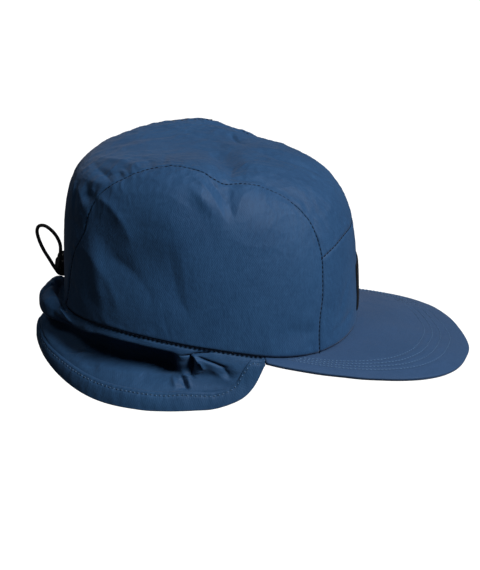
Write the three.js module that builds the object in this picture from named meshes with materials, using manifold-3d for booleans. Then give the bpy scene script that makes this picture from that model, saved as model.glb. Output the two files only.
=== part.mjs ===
// Earflap cap: soft crown of four panels, curved peak, folded neck flap and rear drawcord.
// Millimetres, +X towards the peak, +Y the wearer's left, +Z up.
// Origin: centre of the head opening at the height of the front hem.
import * as THREE from "three";
import { mergeVertices } from "three/addons/utils/BufferGeometryUtils.js";
import ManifoldModule from "manifold-3d";

const manifold = await ManifoldModule();
manifold.setup();

// Named sizes
const HEM_HALF_LENGTH = 100;
const HEM_HALF_WIDTH = 81;
const HEM_SQUARENESS = 2.25;
const CROWN_APEX_HEIGHT = 119.5;
const CROWN_WALL = 1.4;
const SEAM_GAP = 0.35;
const FLAP_WALL = 1.2;
const BAND_WALL = 1.2;
const BAND_GAP = 0.4;
const BAND_END_LIFT = 0.5;
const BAND_END_FADE = [78, 86];
const PIECE_GAP = 0.3;
const PEAK_THICKNESS = 2.8;
const PATCH_THICKNESS = 1.0;
const CORD_DIAMETER = 2.5;

// Grid counts
const SIDE_COLUMNS = 22;
const SIDE_ROWS = 12;
const PANEL_COLUMNS = 8;
const PEAK_ROWS = 8;
const PATCH_COLUMNS = 8;
const PATCH_ROWS = 7;
const CORD_SIDES = 8;
const CORD_RINGS = 54;
const LATHE_SIDES = 24;

// Steps on the chart over which the crown's slope is taken
const SMOOTH_STEP = 0.006;
const FOLDED_STEP = 0.01;

// Reach on the chart beyond which the crown's folds fade
const FOLD_FADE_REACH = 0.93;

// Distance under which points are joined
const WELD_DISTANCE = 1e-4;

// Crown profiles, one row per direction round the hem, mirrored left to right.
// angle, hem height, wall reach (share of hem radius), wall height, top reach, top height
const CROWN_PROFILES = [
  [0, 0.0, 1.008, 95.5, 0.908, 115.4],
  [45, -3.5, 1.006, 115.7, 0.737, 117.0],
  [90, 7.0, 1.046, 153.5, 0.693, 119.5],
  [135, 16.0, 0.98, 143.1, 0.796, 122.2],
  [180, 14.0, 0.984, 112.3, 1.054, 125.0],
];

// Arch seam between side panel and the front and top panels, in chart shares of the hem radius.
// forward, sideways
const ARCH_SEAM = [
  [0.772, 0.636],
  [0.743, 0.62],
  [0.714, 0.585],
  [0.694, 0.54],
  [0.652, 0.491],
  [0.614, 0.454],
  [0.559, 0.421],
  [0.49, 0.39],
  [0.427, 0.376],
  [0.369, 0.362],
  [0.296, 0.356],
  [0.21, 0.379],
  [0.148, 0.415],
  [0.08, 0.462],
  [0.03, 0.472],
  [-0.019, 0.44],
  [-0.091, 0.393],
  [-0.174, 0.348],
  [-0.237, 0.339],
  [-0.328, 0.346],
  [-0.427, 0.352],
  [-0.517, 0.349],
  [-0.58, 0.355],
  [-0.638, 0.364],
  [-0.684, 0.376],
  [-0.737, 0.356],
  [-0.79, 0.324],
  [-0.848, 0.302],
  [-0.907, 0.288],
  [-0.956, 0.246],
  [-0.981, 0.194],
];

// Front seam between front and top panels, right half to centre.
// forward, sideways
const FRONT_SEAM = [
  [0.615, 0.455],
  [0.643, 0.348],
  [0.662, 0.232],
  [0.68, 0.11],
  [0.686, 0.0],
];

// Dents and ridges of the crown, each a soft oval on the chart.
// forward, sideways, heading in degrees, half length, half width, depth (negative is inward)
const CROWN_FOLDS = [
  [0.02, 0.14, 100, 0.2, 0.075, -1.2],
  [0.08, -0.2, 108, 0.16, 0.06, -5.0],
  [0.09, -0.5, 82, 0.15, 0.07, -4.5],
  [0.09, 0.5, 98, 0.13, 0.07, -1.8],
  [-0.03, -0.62, 140, 0.1, 0.04, 2.5],
  [-0.6, -0.5, 103, 0.18, 0.07, -2.0],
  [-0.34, -0.79, 150, 0.22, 0.07, -2.5],
  [-0.72, -0.58, 75, 0.13, 0.045, 1.2],
  [-0.22, -0.66, 25, 0.16, 0.14, 2.5],
  [0.61, -0.75, 45, 0.14, 0.022, -1.4],
  [0.26, -0.33, 5, 0.22, 0.05, -2.0],
  [0.26, 0.33, 175, 0.26, 0.06, -3.5],
  [-0.56, -0.29, 120, 0.08, 0.03, -1.2],
  [-0.47, -0.28, 110, 0.08, 0.026, 1.0],
  [-0.4, -0.25, 100, 0.09, 0.026, -1.1],
  [-0.3, -0.2, 95, 0.09, 0.024, 0.9],
  [-0.3, 0.55, 60, 0.25, 0.08, -3.0],
  [-0.6, 0.5, 120, 0.2, 0.07, -2.5],
  [0.2, 0.8, 95, 0.2, 0.05, -1.8],
];

// Cross-sections of the neck flap, one row per direction from the front left end round the rear
// to the front right end. Each pair is outward and upward from the crown hem.
// angle, tuck, hem, rise, lip top, lip, lip underside, inner fold, cloth, band top, edge
const FLAP_SECTIONS = [
  [65, [-2.4, 3], [-2.2, -0.3], [-1.8, -0.9], [-1.4, -1.5], [-1, -2.1],
    [-0.6, -2.6], [-0.3, -3.2], [0, -3.7], [0.3, -4.3], [0.5, -5]],
  [69, [-2.4, 5], [-2, -0.9], [-1.4, -2.4], [-0.9, -4], [-0.5, -5.8],
    [-0.3, -7.8], [0, -10], [0.3, -12.2], [0.7, -14.6], [1.5, -18]],
  [73.5, [-2.4, 5], [-1.9, -1], [-1.2, -2.9], [-0.6, -5], [-0.2, -7.4],
    [-0.1, -10], [-0.1, -13], [0, -16.2], [0.6, -20], [2.6, -27]],
  [79, [-2.4, 5], [-1.8, -1], [-1, -3.1], [-0.3, -5.8], [0.2, -8.8],
    [0.2, -12], [-0.2, -15.4], [0, -19.2], [0.8, -24], [3.4, -33]],
  [88, [-2.4, 5], [-1.8, -1], [-0.8, -3.4], [0, -6.8], [0.4, -10.4],
    [-0.8, -14.8], [-2.2, -19.2], [-0.8, -23.8], [1.5, -28.8], [4.2, -39.2]],
  [97, [-2.4, 5], [-1.8, -1], [-0.8, -3.4], [-0.1, -6.8], [-0.1, -10.4],
    [-2.5, -15], [-4.2, -20], [-2, -25], [1.9, -30.6], [5.2, -42]],
  [103, [-2.4, 5], [-1.8, -1], [-0.8, -3.4], [-0.5, -6.8], [-1.6, -9.4],
    [-5, -13], [-8, -19], [-5, -24.5], [2.2, -31.6], [6, -43.8]],
  [109, [-2.4, 5], [-1.8, -1], [-0.8, -3.4], [-0.8, -6.4], [-3.6, -8],
    [-13, -10], [-20, -22], [-8.6, -26.6], [2.6, -34], [6.6, -45.6]],
  [120, [-2.4, 5], [-1.8, -1], [-0.8, -3.4], [-0.8, -6.8], [-4, -8.2],
    [-14, -10.5], [-22, -23], [-9.5, -29], [3, -36.5], [7.6, -48.4]],
  [138, [-2.4, 5], [-1.8, -1], [-0.6, -3.4], [-0.2, -7], [-3.4, -8.6],
    [-12, -11], [-19, -23], [-9, -29], [3.8, -37.6], [8.5, -49.8]],
  [156, [-2.4, 5], [-1.8, -1.2], [0.4, -3.2], [1.6, -7], [-1, -9.2],
    [-9, -11.5], [-14, -22], [-4, -25.5], [6.8, -32.3], [10.7, -43.8]],
  [168, [-2.4, 5], [-1.8, -1.4], [2.6, -0.8], [6.6, 3], [11.5, 0],
    [11.5, -7.5], [6, -13], [9, -18], [12.6, -24], [15.2, -35]],
  [180, [-2.4, 5], [-1.8, -1.4], [3.6, 1.2], [8.4, 9.6], [16, 3.6],
    [16.4, -6.5], [12.6, -11.4], [15, -14], [17.8, -17.5], [19.6, -27.5]],
  [191, [-2.4, 5], [-1.8, -1.4], [3.6, 1.2], [8, 8.2], [15, 2.8],
    [13.5, -7.5], [0, -14.5], [12, -21.5], [14.6, -24.5], [16.4, -34]],
  [204, [-2.4, 5], [-1.8, -1.2], [0.4, -3.2], [1.6, -7], [-1, -9.2],
    [-9, -11.5], [-14, -22], [-5, -26.5], [6.8, -32.3], [10.7, -43.8]],
  [222, [-2.4, 5], [-1.8, -1], [-0.6, -3.4], [-0.2, -7], [-3.4, -8.6],
    [-12, -11], [-19, -23], [-9, -29], [3.8, -37.6], [8.5, -49.8]],
  [240, [-2.4, 5], [-1.8, -1], [-0.8, -3.4], [-0.8, -6.8], [-4, -8.2],
    [-14, -10.5], [-22, -23], [-9.5, -29], [3, -36.5], [7.6, -48.4]],
  [251, [-2.4, 5], [-1.8, -1], [-0.8, -3.4], [-0.8, -6.4], [-3.6, -8],
    [-13, -10], [-20, -22], [-8.6, -26.6], [2.6, -34], [6.6, -45.6]],
  [257, [-2.4, 5], [-1.8, -1], [-0.8, -3.4], [-0.5, -6.8], [-1.6, -9.4],
    [-5, -13], [-8, -19], [-5, -24.5], [2.2, -31.6], [6, -43.8]],
  [263, [-2.4, 5], [-1.8, -1], [-0.8, -3.4], [-0.1, -6.8], [-0.1, -10.4],
    [-2.5, -15], [-4.2, -20], [-2, -25], [1.9, -30.6], [5.2, -42]],
  [272, [-2.4, 5], [-1.8, -1], [-0.8, -3.4], [0, -6.8], [0.4, -10.4],
    [-0.8, -14.8], [-2.2, -19.2], [-0.8, -23.8], [1.5, -28.8], [4.2, -39.2]],
  [281, [-2.4, 5], [-1.8, -1], [-1, -3.1], [-0.3, -5.8], [0.2, -8.8],
    [0.2, -12], [-0.2, -15.4], [0, -19.2], [0.8, -24], [3.4, -33]],
  [286.5, [-2.4, 5], [-1.9, -1], [-1.2, -2.9], [-0.6, -5], [-0.2, -7.4],
    [-0.1, -10], [-0.1, -13], [0, -16.2], [0.6, -20], [2.6, -27]],
  [291, [-2.4, 5], [-2, -0.9], [-1.4, -2.4], [-0.9, -4], [-0.5, -5.8],
    [-0.3, -7.8], [0, -10], [0.3, -12.2], [0.7, -14.6], [1.5, -18]],
  [295, [-2.4, 3], [-2.2, -0.3], [-1.8, -0.9], [-1.4, -1.5], [-1, -2.1],
    [-0.6, -2.6], [-0.3, -3.2], [0, -3.7], [0.3, -4.3], [0.5, -5]],
];

// Crumples of the flap's cloth beside the ear, each a soft oval; directions and shares are in the
// units of the section table, and headings turn from the direction axis to the share axis.
// angle, share, heading in degrees, half length, half width, depth; 100 degrees count as one share
const FLAP_CRUMPLES = [
  [261, 0.56, 92, 0.12, 0.03, -3.0],
  [267, 0.55, 100, 0.12, 0.035, 2.2],
  [276, 0.58, 105, 0.12, 0.035, -1.6],
  [99, 0.56, 88, 0.12, 0.03, -2.6],
  [92, 0.55, 80, 0.12, 0.035, 2.0],
];

const DEGREES_PER_SHARE = 100;

// Shares over which the crumples set in and fade out
const CRUMPLE_FADE_IN = [0.36, 0.46];
const CRUMPLE_FADE_OUT = [0.76, 0.84];

// Steps over which the flap's slope is taken, and the margin kept from its two edges
const FLAP_STEP_DEGREES = 0.4;
const FLAP_STEP_SHARE = 0.01;
const FLAP_SHARE_MARGIN = 0.012;

// Upper line of the hem band, as a share of the flap section from tuck to edge.
// angle from the front, share
const BAND_TOP_LINE = [
  [65, 0.38],
  [69, 0.24],
  [71, 0.26],
  [74, 0.52],
  [77.5, 0.8],
  [82, 0.875],
  [92, 0.889],
  [180, 0.889],
];

// Peak edge, right half from the root corner to the tip.
// forward, sideways, height
const PEAK_EDGE = [
  [37.2, -79.6, -2.6],
  [47, -80.9, -4.6],
  [60, -81.1, -7.2],
  [75, -80.6, -10.1],
  [90, -79.8, -12.3],
  [104, -78.9, -14.2],
  [118, -77.6, -15.3],
  [130, -75.2, -16.2],
  [141, -71.3, -17.1],
  [151, -65.1, -18.1],
  [159, -57.6, -19],
  [166, -47.8, -20],
  [171, -36.6, -21],
  [175, -23.0, -22.2],
  [177.8, -10.2, -23.3],
  [178.6, 0, -23.8],
];
const PEAK_ROOT_ANGLE = 64.5;
const PEAK_ROOT_INSET = 2;
const PEAK_ROOT_DROP = 0.7;
const PEAK_CAMBER = 3.5;
const PEAK_COLUMN_STEP = 0.4;
const PEAK_ROW_STEP = 0.02;

// Front patch, as angle and rise on the crown
const PATCH = { halfAngle: 9.5, riseLow: 0.032, riseHigh: 0.165 };

// Cord lock, standing between crown and flap lip on the wearer's left of the rear centre
const LOCK = {
  centre: [-103.2, 35.5, 23.4],
  heading: -23,
  bodyHeight: 12,
  boreRadius: 4.8,
  boreFloor: 1.2,
  stemRadius: 4.5,
  stemBottom: 4.0,
  slotWidth: 3.1,
  slotLow: 2.1,
  slotHigh: 8.1,
  plungerSlotHigh: 11.0,
  slotLength: 30,
  strandOffset: 1.5,
  strandPlaces: [7.6, 3, -3, -7.6],
  headTop: 17,
};

// Outline of the lock body, bottom to top.
// radius, height above the lock base
const LOCK_BODY_OUTLINE = [
  [0, 0],
  [3.8, 0],
  [5.2, 0.7],
  [6.1, 2.2],
  [6.5, 4.6],
  [6.5, 7.2],
  [6.2, 9.8],
  [5.8, 11.4],
  [5.3, 12],
];

// Outline of the plunger head above the stem.
// radius, height above the lock base
const PLUNGER_HEAD_OUTLINE = [
  [4.5, 11.6],
  [4.5, 13.6],
  [4.1, 15.2],
  [3.0, 16.4],
  [1.5, 16.9],
  [0, 17],
];

const rad = (degrees) => (degrees * Math.PI) / 180;

// Smooth curve value through rows sorted by their first entry.
function throughRows(rows, x, column) {
  const last = rows.length - 1;
  let i = 0;
  while (i < last - 1 && x > rows[i + 1][0]) i += 1;
  const valueAt = (k) => rows[Math.min(Math.max(k, 0), last)][column];
  const placeAt = (k) => rows[Math.min(Math.max(k, 0), last)][0];
  const slopeAt = (k) => {
    const span = placeAt(k + 1) - placeAt(k - 1);
    return span === 0 ? 0 : (valueAt(k + 1) - valueAt(k - 1)) / span;
  };
  const width = placeAt(i + 1) - placeAt(i);
  const f = Math.min(Math.max((x - placeAt(i)) / width, 0), 1);
  const f2 = f * f;
  const f3 = f2 * f;
  return (2 * f3 - 3 * f2 + 1) * valueAt(i) + (f3 - 2 * f2 + f) * width * slopeAt(i)
    + (-2 * f3 + 3 * f2) * valueAt(i + 1) + (f3 - f2) * width * slopeAt(i + 1);
}

const MIRRORED_PROFILES = [
  ...CROWN_PROFILES.slice(1, 2).map((row) => [-row[0], ...row.slice(1)]),
  ...CROWN_PROFILES,
  ...CROWN_PROFILES.slice(3, 4).map((row) => [360 - row[0], ...row.slice(1)]),
];

// Distance from the centre to the hem in a direction.
function hemRadius(angle) {
  const c = Math.abs(Math.cos(angle) / HEM_HALF_LENGTH) ** HEM_SQUARENESS;
  const s = Math.abs(Math.sin(angle) / HEM_HALF_WIDTH) ** HEM_SQUARENESS;
  return (c + s) ** (-1 / HEM_SQUARENESS);
}

// One column of the crown profile table at any direction.
function profileValue(angle, column) {
  const turned = Math.abs(((((angle * 180) / Math.PI + 180) % 360) + 360) % 360 - 180);
  return throughRows(MIRRORED_PROFILES, turned, column);
}

// Undented crown surface over the chart; length 1 is the hem and 0 the top.
function smoothCrown(forward, sideways) {
  const reach = Math.hypot(forward, sideways);
  const angle = Math.atan2(sideways, forward);
  const radius = hemRadius(angle);
  const t = 1 - reach;
  const b0 = reach ** 3;
  const b1 = 3 * t * reach * reach;
  const b2 = 3 * t * t * reach;
  const b3 = t ** 3;
  const r = radius * (b0 + profileValue(angle, 2) * b1 + profileValue(angle, 4) * b2);
  const z = profileValue(angle, 1) * b0 + profileValue(angle, 3) * b1
    + profileValue(angle, 5) * b2 + CROWN_APEX_HEIGHT * b3;
  return new THREE.Vector3(r * Math.cos(angle), r * Math.sin(angle), z);
}

// Unit normal of any surface over two parameters.
function surfaceNormal(surface, u, v, stepU, stepV) {
  const alongU = surface(u + stepU, v).sub(surface(u - stepU, v));
  const alongV = surface(u, v + stepV).sub(surface(u, v - stepV));
  return alongU.cross(alongV).normalize();
}

// Height at (x, y) of a table of soft ovals.
function ovalHeight(table, x, y) {
  let height = 0;
  for (const [cx, cy, heading, halfLength, halfWidth, depth] of table) {
    const dx = x - cx;
    const dy = y - cy;
    const c = Math.cos(rad(heading));
    const s = Math.sin(rad(heading));
    const along = (dx * c + dy * s) / halfLength;
    const across = (dy * c - dx * s) / halfWidth;
    height += depth * Math.exp(-along * along - across * across);
  }
  return height;
}

// 0 below low, 1 above high and straight between.
const ramp = (value, low, high) => Math.min(Math.max((value - low) / (high - low), 0), 1);

// Height of the crown's folds, which fade out at the hem.
function foldHeight(forward, sideways) {
  const reach = Math.hypot(forward, sideways);
  return ovalHeight(CROWN_FOLDS, forward, sideways) * (1 - ramp(reach, FOLD_FADE_REACH, 1));
}

const crown = (forward, sideways) => {
  const normal = surfaceNormal(smoothCrown, forward, sideways, SMOOTH_STEP, SMOOTH_STEP);
  return smoothCrown(forward, sideways).addScaledVector(normal, foldHeight(forward, sideways));
};
const crownNormal = (forward, sideways) => (
  surfaceNormal(crown, forward, sideways, FOLDED_STEP, FOLDED_STEP)
);

// Closed solid from an outer and an inner grid of points.
function slab(outer, inner) {
  const rows = outer.length;
  const columns = outer[0].length;
  const points = [...outer.flat(), ...inner.flat()];
  const layer = rows * columns;
  const at = (i, j, side) => side * layer + i * columns + j;
  const index = [];
  const quad = (a, b, c, d) => index.push(a, b, c, a, c, d);
  for (let i = 0; i < rows - 1; i += 1) {
    for (let j = 0; j < columns - 1; j += 1) {
      quad(at(i, j, 0), at(i + 1, j, 0), at(i + 1, j + 1, 0), at(i, j + 1, 0));
      quad(at(i, j, 1), at(i, j + 1, 1), at(i + 1, j + 1, 1), at(i + 1, j, 1));
    }
  }
  for (let i = 0; i < rows - 1; i += 1) {
    quad(at(i, 0, 0), at(i, 0, 1), at(i + 1, 0, 1), at(i + 1, 0, 0));
    quad(at(i, columns - 1, 0), at(i + 1, columns - 1, 0), at(i + 1, columns - 1, 1), at(i, columns - 1, 1));
  }
  for (let j = 0; j < columns - 1; j += 1) {
    quad(at(0, j, 0), at(0, j + 1, 0), at(0, j + 1, 1), at(0, j, 1));
    quad(at(rows - 1, j, 0), at(rows - 1, j, 1), at(rows - 1, j + 1, 1), at(rows - 1, j + 1, 0));
  }
  return solid(points, index);
}

// Geometry from points and triangles, turned so that its faces look outward.
function solid(points, index) {
  let volume = 0;
  for (let k = 0; k < index.length; k += 3) {
    const [a, b, c] = [points[index[k]], points[index[k + 1]], points[index[k + 2]]];
    volume += a.dot(new THREE.Vector3().crossVectors(b, c));
  }
  if (volume < 0) {
    for (let k = 0; k < index.length; k += 3) {
      [index[k + 1], index[k + 2]] = [index[k + 2], index[k + 1]];
    }
  }
  const geometry = new THREE.BufferGeometry();
  const places = points.flatMap((p) => [p.x, p.y, p.z]);
  geometry.setAttribute("position", new THREE.Float32BufferAttribute(places, 3));
  geometry.setIndex(index);
  geometry.computeVertexNormals();
  return geometry;
}

// Grid between four chart edges that share their corners.
function fillBetween(bottom, top, left, right) {
  const rows = left.length - 1;
  const columns = bottom.length - 1;
  const grid = [];
  for (let i = 0; i <= rows; i += 1) {
    const v = i / rows;
    const line = [];
    for (let j = 0; j <= columns; j += 1) {
      const u = j / columns;
      const blend = (k) => (1 - v) * bottom[j][k] + v * top[j][k] + (1 - u) * left[i][k] + u * right[i][k]
        - (1 - u) * (1 - v) * bottom[0][k] - u * (1 - v) * bottom[columns][k]
        - (1 - u) * v * top[0][k] - u * v * top[columns][k];
      line.push([blend(0), blend(1)]);
    }
    grid.push(line);
  }
  return grid;
}

// Cloth panel on the crown, its edges drawn in by half the seam gap.
function crownPanel(chartGrid) {
  const rows = chartGrid.length;
  const columns = chartGrid[0].length;
  const surface = chartGrid.map((line) => line.map(([x, y]) => crown(x, y)));
  const normals = chartGrid.map((line) => line.map(([x, y]) => crownNormal(x, y)));
  const outer = surface.map((line, i) => line.map((point, j) => {
    const moved = point.clone();
    const pull = (other) => moved.add(other.clone().sub(point).setLength(SEAM_GAP / 2));
    if (i === 0) pull(surface[1][j]);
    if (i === rows - 1) pull(surface[rows - 2][j]);
    if (j === 0) pull(surface[i][1]);
    if (j === columns - 1) pull(surface[i][columns - 2]);
    return moved;
  }));
  const inner = outer.map((line, i) => line.map((point, j) => (
    point.clone().addScaledVector(normals[i][j], -CROWN_WALL)
  )));
  return slab(outer, inner);
}

// Evenly spaced chart points along a table curve.
function spaced(rows, count) {
  const points = rows.map(([x, y]) => new THREE.Vector3(x, y, 0));
  const curve = new THREE.CatmullRomCurve3(points, false, "centripetal");
  return curve.getSpacedPoints(count).map((p) => [p.x, p.y]);
}

// Evenly spaced hem points between two directions in degrees.
function hemArc(from, to, count) {
  return Array.from({ length: count + 1 }, (_, i) => {
    const angle = rad(from + ((to - from) * i) / count);
    return [Math.cos(angle), Math.sin(angle)];
  });
}

const flip = (points) => points.map(([x, y]) => [x, -y]);
const degreesOf = ([x, y]) => (Math.atan2(y, x) * 180) / Math.PI;

const ARCH_STEPS = 2 * SIDE_ROWS + SIDE_COLUMNS;
const archLeft = spaced(ARCH_SEAM, ARCH_STEPS);
const archRight = flip(archLeft);
const frontCorner = archLeft.reduce((best, p, i) => {
  const [x, y] = FRONT_SEAM[0];
  const gap = Math.hypot(p[0] - x, p[1] - y);
  return gap < best.gap ? { gap, i } : best;
}, { gap: Infinity, i: 0 }).i;

function sidePanel(arch) {
  const corner = (i) => arch[i];
  const start = degreesOf(corner(0));
  const end = degreesOf(corner(ARCH_STEPS));
  const bottom = hemArc(start, end, SIDE_COLUMNS);
  bottom[0] = corner(0);
  bottom[SIDE_COLUMNS] = corner(ARCH_STEPS);
  const left = arch.slice(0, SIDE_ROWS + 1);
  const right = arch.slice(SIDE_ROWS + SIDE_COLUMNS).reverse();
  const top = arch.slice(SIDE_ROWS, SIDE_ROWS + SIDE_COLUMNS + 1);
  return crownPanel(fillBetween(bottom, top, left, right));
}

function frontSeamLine() {
  const half = [archRight[frontCorner], ...flip(FRONT_SEAM.slice(1))];
  const whole = [...half, ...flip(half.slice(0, -1)).reverse()];
  return spaced(whole, PANEL_COLUMNS);
}

function frontPanel() {
  const start = degreesOf(archRight[0]);
  const bottom = hemArc(start, -start, PANEL_COLUMNS);
  bottom[0] = archRight[0];
  bottom[PANEL_COLUMNS] = archLeft[0];
  const left = archRight.slice(0, frontCorner + 1);
  const right = archLeft.slice(0, frontCorner + 1);
  return crownPanel(fillBetween(bottom, frontSeamLine(), left, right));
}

function topPanel() {
  const end = degreesOf(archRight[ARCH_STEPS]);
  const rearArc = hemArc(end, -360 - end, PANEL_COLUMNS);
  rearArc[0] = archRight[ARCH_STEPS];
  rearArc[PANEL_COLUMNS] = archLeft[ARCH_STEPS];
  const left = archRight.slice(frontCorner);
  const right = archLeft.slice(frontCorner);
  return crownPanel(fillBetween(frontSeamLine(), rearArc, left, right));
}

// Outward direction of the hem curve in plan.
function hemOutward(angle) {
  const r = hemRadius(angle);
  const x = r * Math.cos(angle);
  const y = r * Math.sin(angle);
  const power = HEM_SQUARENESS - 1;
  const nx = (Math.sign(x) * Math.abs(x / HEM_HALF_LENGTH) ** power) / HEM_HALF_LENGTH;
  const ny = (Math.sign(y) * Math.abs(y / HEM_HALF_WIDTH) ** power) / HEM_HALF_WIDTH;
  return new THREE.Vector3(nx, ny, 0).normalize();
}

const FLAP_PAIRS = FLAP_SECTIONS[0].length - 1;
const FLAP_TABLE = FLAP_SECTIONS.map(([angle, ...pairs]) => [angle, ...pairs.flat()]);

// Uncrumpled flap surface; share runs from the tuck inside the crown to the lower edge.
function smoothFlap(degrees, share) {
  const angle = rad(degrees);
  const place = Math.min(Math.max(share, 0), 1) * (FLAP_PAIRS - 1);
  const i = Math.min(Math.floor(place), FLAP_PAIRS - 2);
  const f = place - i;
  const pair = (k) => {
    const column = 1 + 2 * Math.min(Math.max(k, 0), FLAP_PAIRS - 1);
    return [throughRows(FLAP_TABLE, degrees, column), throughRows(FLAP_TABLE, degrees, column + 1)];
  };
  const [p0, p1, p2, p3] = [pair(i - 1), pair(i), pair(i + 1), pair(i + 2)];
  const blend = (k) => 0.5 * (2 * p1[k] + (p2[k] - p0[k]) * f
    + (2 * p0[k] - 5 * p1[k] + 4 * p2[k] - p3[k]) * f * f
    + (3 * p1[k] - p0[k] - 3 * p2[k] + p3[k]) * f * f * f);
  const r = hemRadius(angle);
  const hem = new THREE.Vector3(r * Math.cos(angle), r * Math.sin(angle), profileValue(angle, 1) + blend(1));
  return hem.addScaledVector(hemOutward(angle), blend(0));
}

const flapNormal = (degrees, share) => {
  const inside = Math.min(Math.max(share, FLAP_SHARE_MARGIN), 1 - FLAP_SHARE_MARGIN);
  return surfaceNormal(smoothFlap, degrees, inside, FLAP_STEP_DEGREES, FLAP_STEP_SHARE).negate();
};

// Flap cloth with its crumples, which lie between the lip and the hem band.
function crumpledFlap(degrees, share) {
  const crumples = FLAP_CRUMPLES.map(([angle, ...rest]) => [angle / DEGREES_PER_SHARE, ...rest]);
  const free = ramp(share, ...CRUMPLE_FADE_IN) * (1 - ramp(share, ...CRUMPLE_FADE_OUT));
  const height = ovalHeight(crumples, degrees / DEGREES_PER_SHARE, share) * free;
  return smoothFlap(degrees, share).addScaledVector(flapNormal(degrees, share), height);
}

// Places of the flap rows from tuck to edge, closer together at the folds.
const FLAP_SHARES = [
  0, 0.111, 0.222, 0.333, 0.389, 0.444, 0.5, 0.556, 0.611, 0.667, 0.722, 0.778, 0.834, 0.889, 0.926, 0.963, 1,
];

// Directions of the flap columns, closer together at the two front ends.
const FLAP_FRONT = [65, 67.4, 70, 72.6, 75.4, 78.5, 82];
const FLAP_ANGLES = [
  ...FLAP_FRONT,
  ...Array.from({ length: 33 }, (_, i) => 86.5 + (i * 187) / 32),
  ...FLAP_FRONT.map((a) => 360 - a).reverse(),
];

function neckFlap() {
  const outer = FLAP_SHARES.map((share) => FLAP_ANGLES.map((a) => crumpledFlap(a, share)));
  const inner = outer.map((line, i) => line.map((p, j) => (
    p.clone().addScaledVector(flapNormal(FLAP_ANGLES[j], FLAP_SHARES[i]), -FLAP_WALL)
  )));
  return slab(outer, inner);
}

const BAND_STEPS = [0, 0.2, 0.4, 0.6, 0.8, 1];

function flapHem() {
  const layers = [BAND_GAP, BAND_GAP + BAND_WALL].map((lift) => BAND_STEPS.map((step) => (
    FLAP_ANGLES.map((a) => {
      const fromFront = Math.min(a, 360 - a);
      const top = throughRows(BAND_TOP_LINE, fromFront, 1);
      const share = top + (1 - top) * step;
      const endLift = BAND_END_LIFT * (1 - ramp(fromFront, ...BAND_END_FADE));
      return smoothFlap(a, share).addScaledVector(flapNormal(a, share), lift + endLift);
    })
  )));
  return slab(layers[1], layers[0]);
}

function peak() {
  const half = PEAK_EDGE.map(([x, y, z]) => new THREE.Vector3(x, y, z));
  const mirrored = half.slice(0, -1).reverse().map((p) => new THREE.Vector3(p.x, -p.y, p.z));
  const edge = [...half, ...mirrored];
  const columns = edge.length - 1;
  const surface = (i, v) => {
    const whole = Math.min(Math.max(i, 0), columns);
    const k = Math.min(Math.floor(whole), columns - 1);
    const rim = edge[k].clone().lerp(edge[k + 1], whole - k);
    const angle = rad(PEAK_ROOT_ANGLE * (-1 + (2 * whole) / columns));
    const r = hemRadius(angle);
    const rootHeight = profileValue(angle, 1) - PEAK_ROOT_DROP;
    const root = new THREE.Vector3(r * Math.cos(angle), r * Math.sin(angle), rootHeight);
    root.addScaledVector(hemOutward(angle), -PEAK_ROOT_INSET);
    const lift = PEAK_CAMBER * 4 * v * (1 - v) * Math.sin((Math.PI * whole) / columns);
    return root.lerp(rim, v).add(new THREE.Vector3(0, 0, lift));
  };
  const top = [];
  const bottom = [];
  for (let row = 0; row <= PEAK_ROWS; row += 1) {
    const v = row / PEAK_ROWS;
    top.push(edge.map((_, i) => surface(i, v)));
    bottom.push(edge.map((_, i) => {
      const held = Math.min(Math.max(i, PEAK_COLUMN_STEP), columns - PEAK_COLUMN_STEP);
      const kept = Math.min(Math.max(v, PEAK_ROW_STEP), 1 - PEAK_ROW_STEP);
      const normal = surfaceNormal(surface, held, kept, PEAK_COLUMN_STEP, PEAK_ROW_STEP);
      if (normal.z < 0) normal.negate();
      return surface(i, v).addScaledVector(normal, -PEAK_THICKNESS);
    }));
  }
  return slab(top, bottom);
}

function frontPatch() {
  const at = (i, j, lift) => {
    const angle = rad(PATCH.halfAngle * (-1 + (2 * j) / PATCH_COLUMNS));
    const reach = 1 - (PATCH.riseLow + ((PATCH.riseHigh - PATCH.riseLow) * i) / PATCH_ROWS);
    const [x, y] = [reach * Math.cos(angle), reach * Math.sin(angle)];
    return crown(x, y).addScaledVector(crownNormal(x, y), lift);
  };
  const layer = (lift) => Array.from({ length: PATCH_ROWS + 1 }, (_, i) => (
    Array.from({ length: PATCH_COLUMNS + 1 }, (__, j) => at(i, j, lift))
  ));
  return slab(layer(PIECE_GAP + PATCH_THICKNESS), layer(PIECE_GAP));
}

// Closed tube round a smooth line.
function tube(rows, diameter, rings) {
  const points = rows.map(([x, y, z]) => new THREE.Vector3(x, y, z));
  const curve = new THREE.CatmullRomCurve3(points, false, "centripetal");
  const profile = new THREE.Shape();
  for (let k = 0; k < CORD_SIDES; k += 1) {
    const a = (2 * Math.PI * k) / CORD_SIDES;
    const [x, y] = [(diameter / 2) * Math.cos(a), (diameter / 2) * Math.sin(a)];
    if (k === 0) profile.moveTo(x, y);
    else profile.lineTo(x, y);
  }
  profile.closePath();
  const settings = { steps: rings, extrudePath: curve, bevelEnabled: false };
  const extruded = new THREE.ExtrudeGeometry(profile, settings);
  extruded.deleteAttribute("uv");
  extruded.deleteAttribute("normal");
  return mergeVertices(extruded, WELD_DISTANCE);
}

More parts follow.
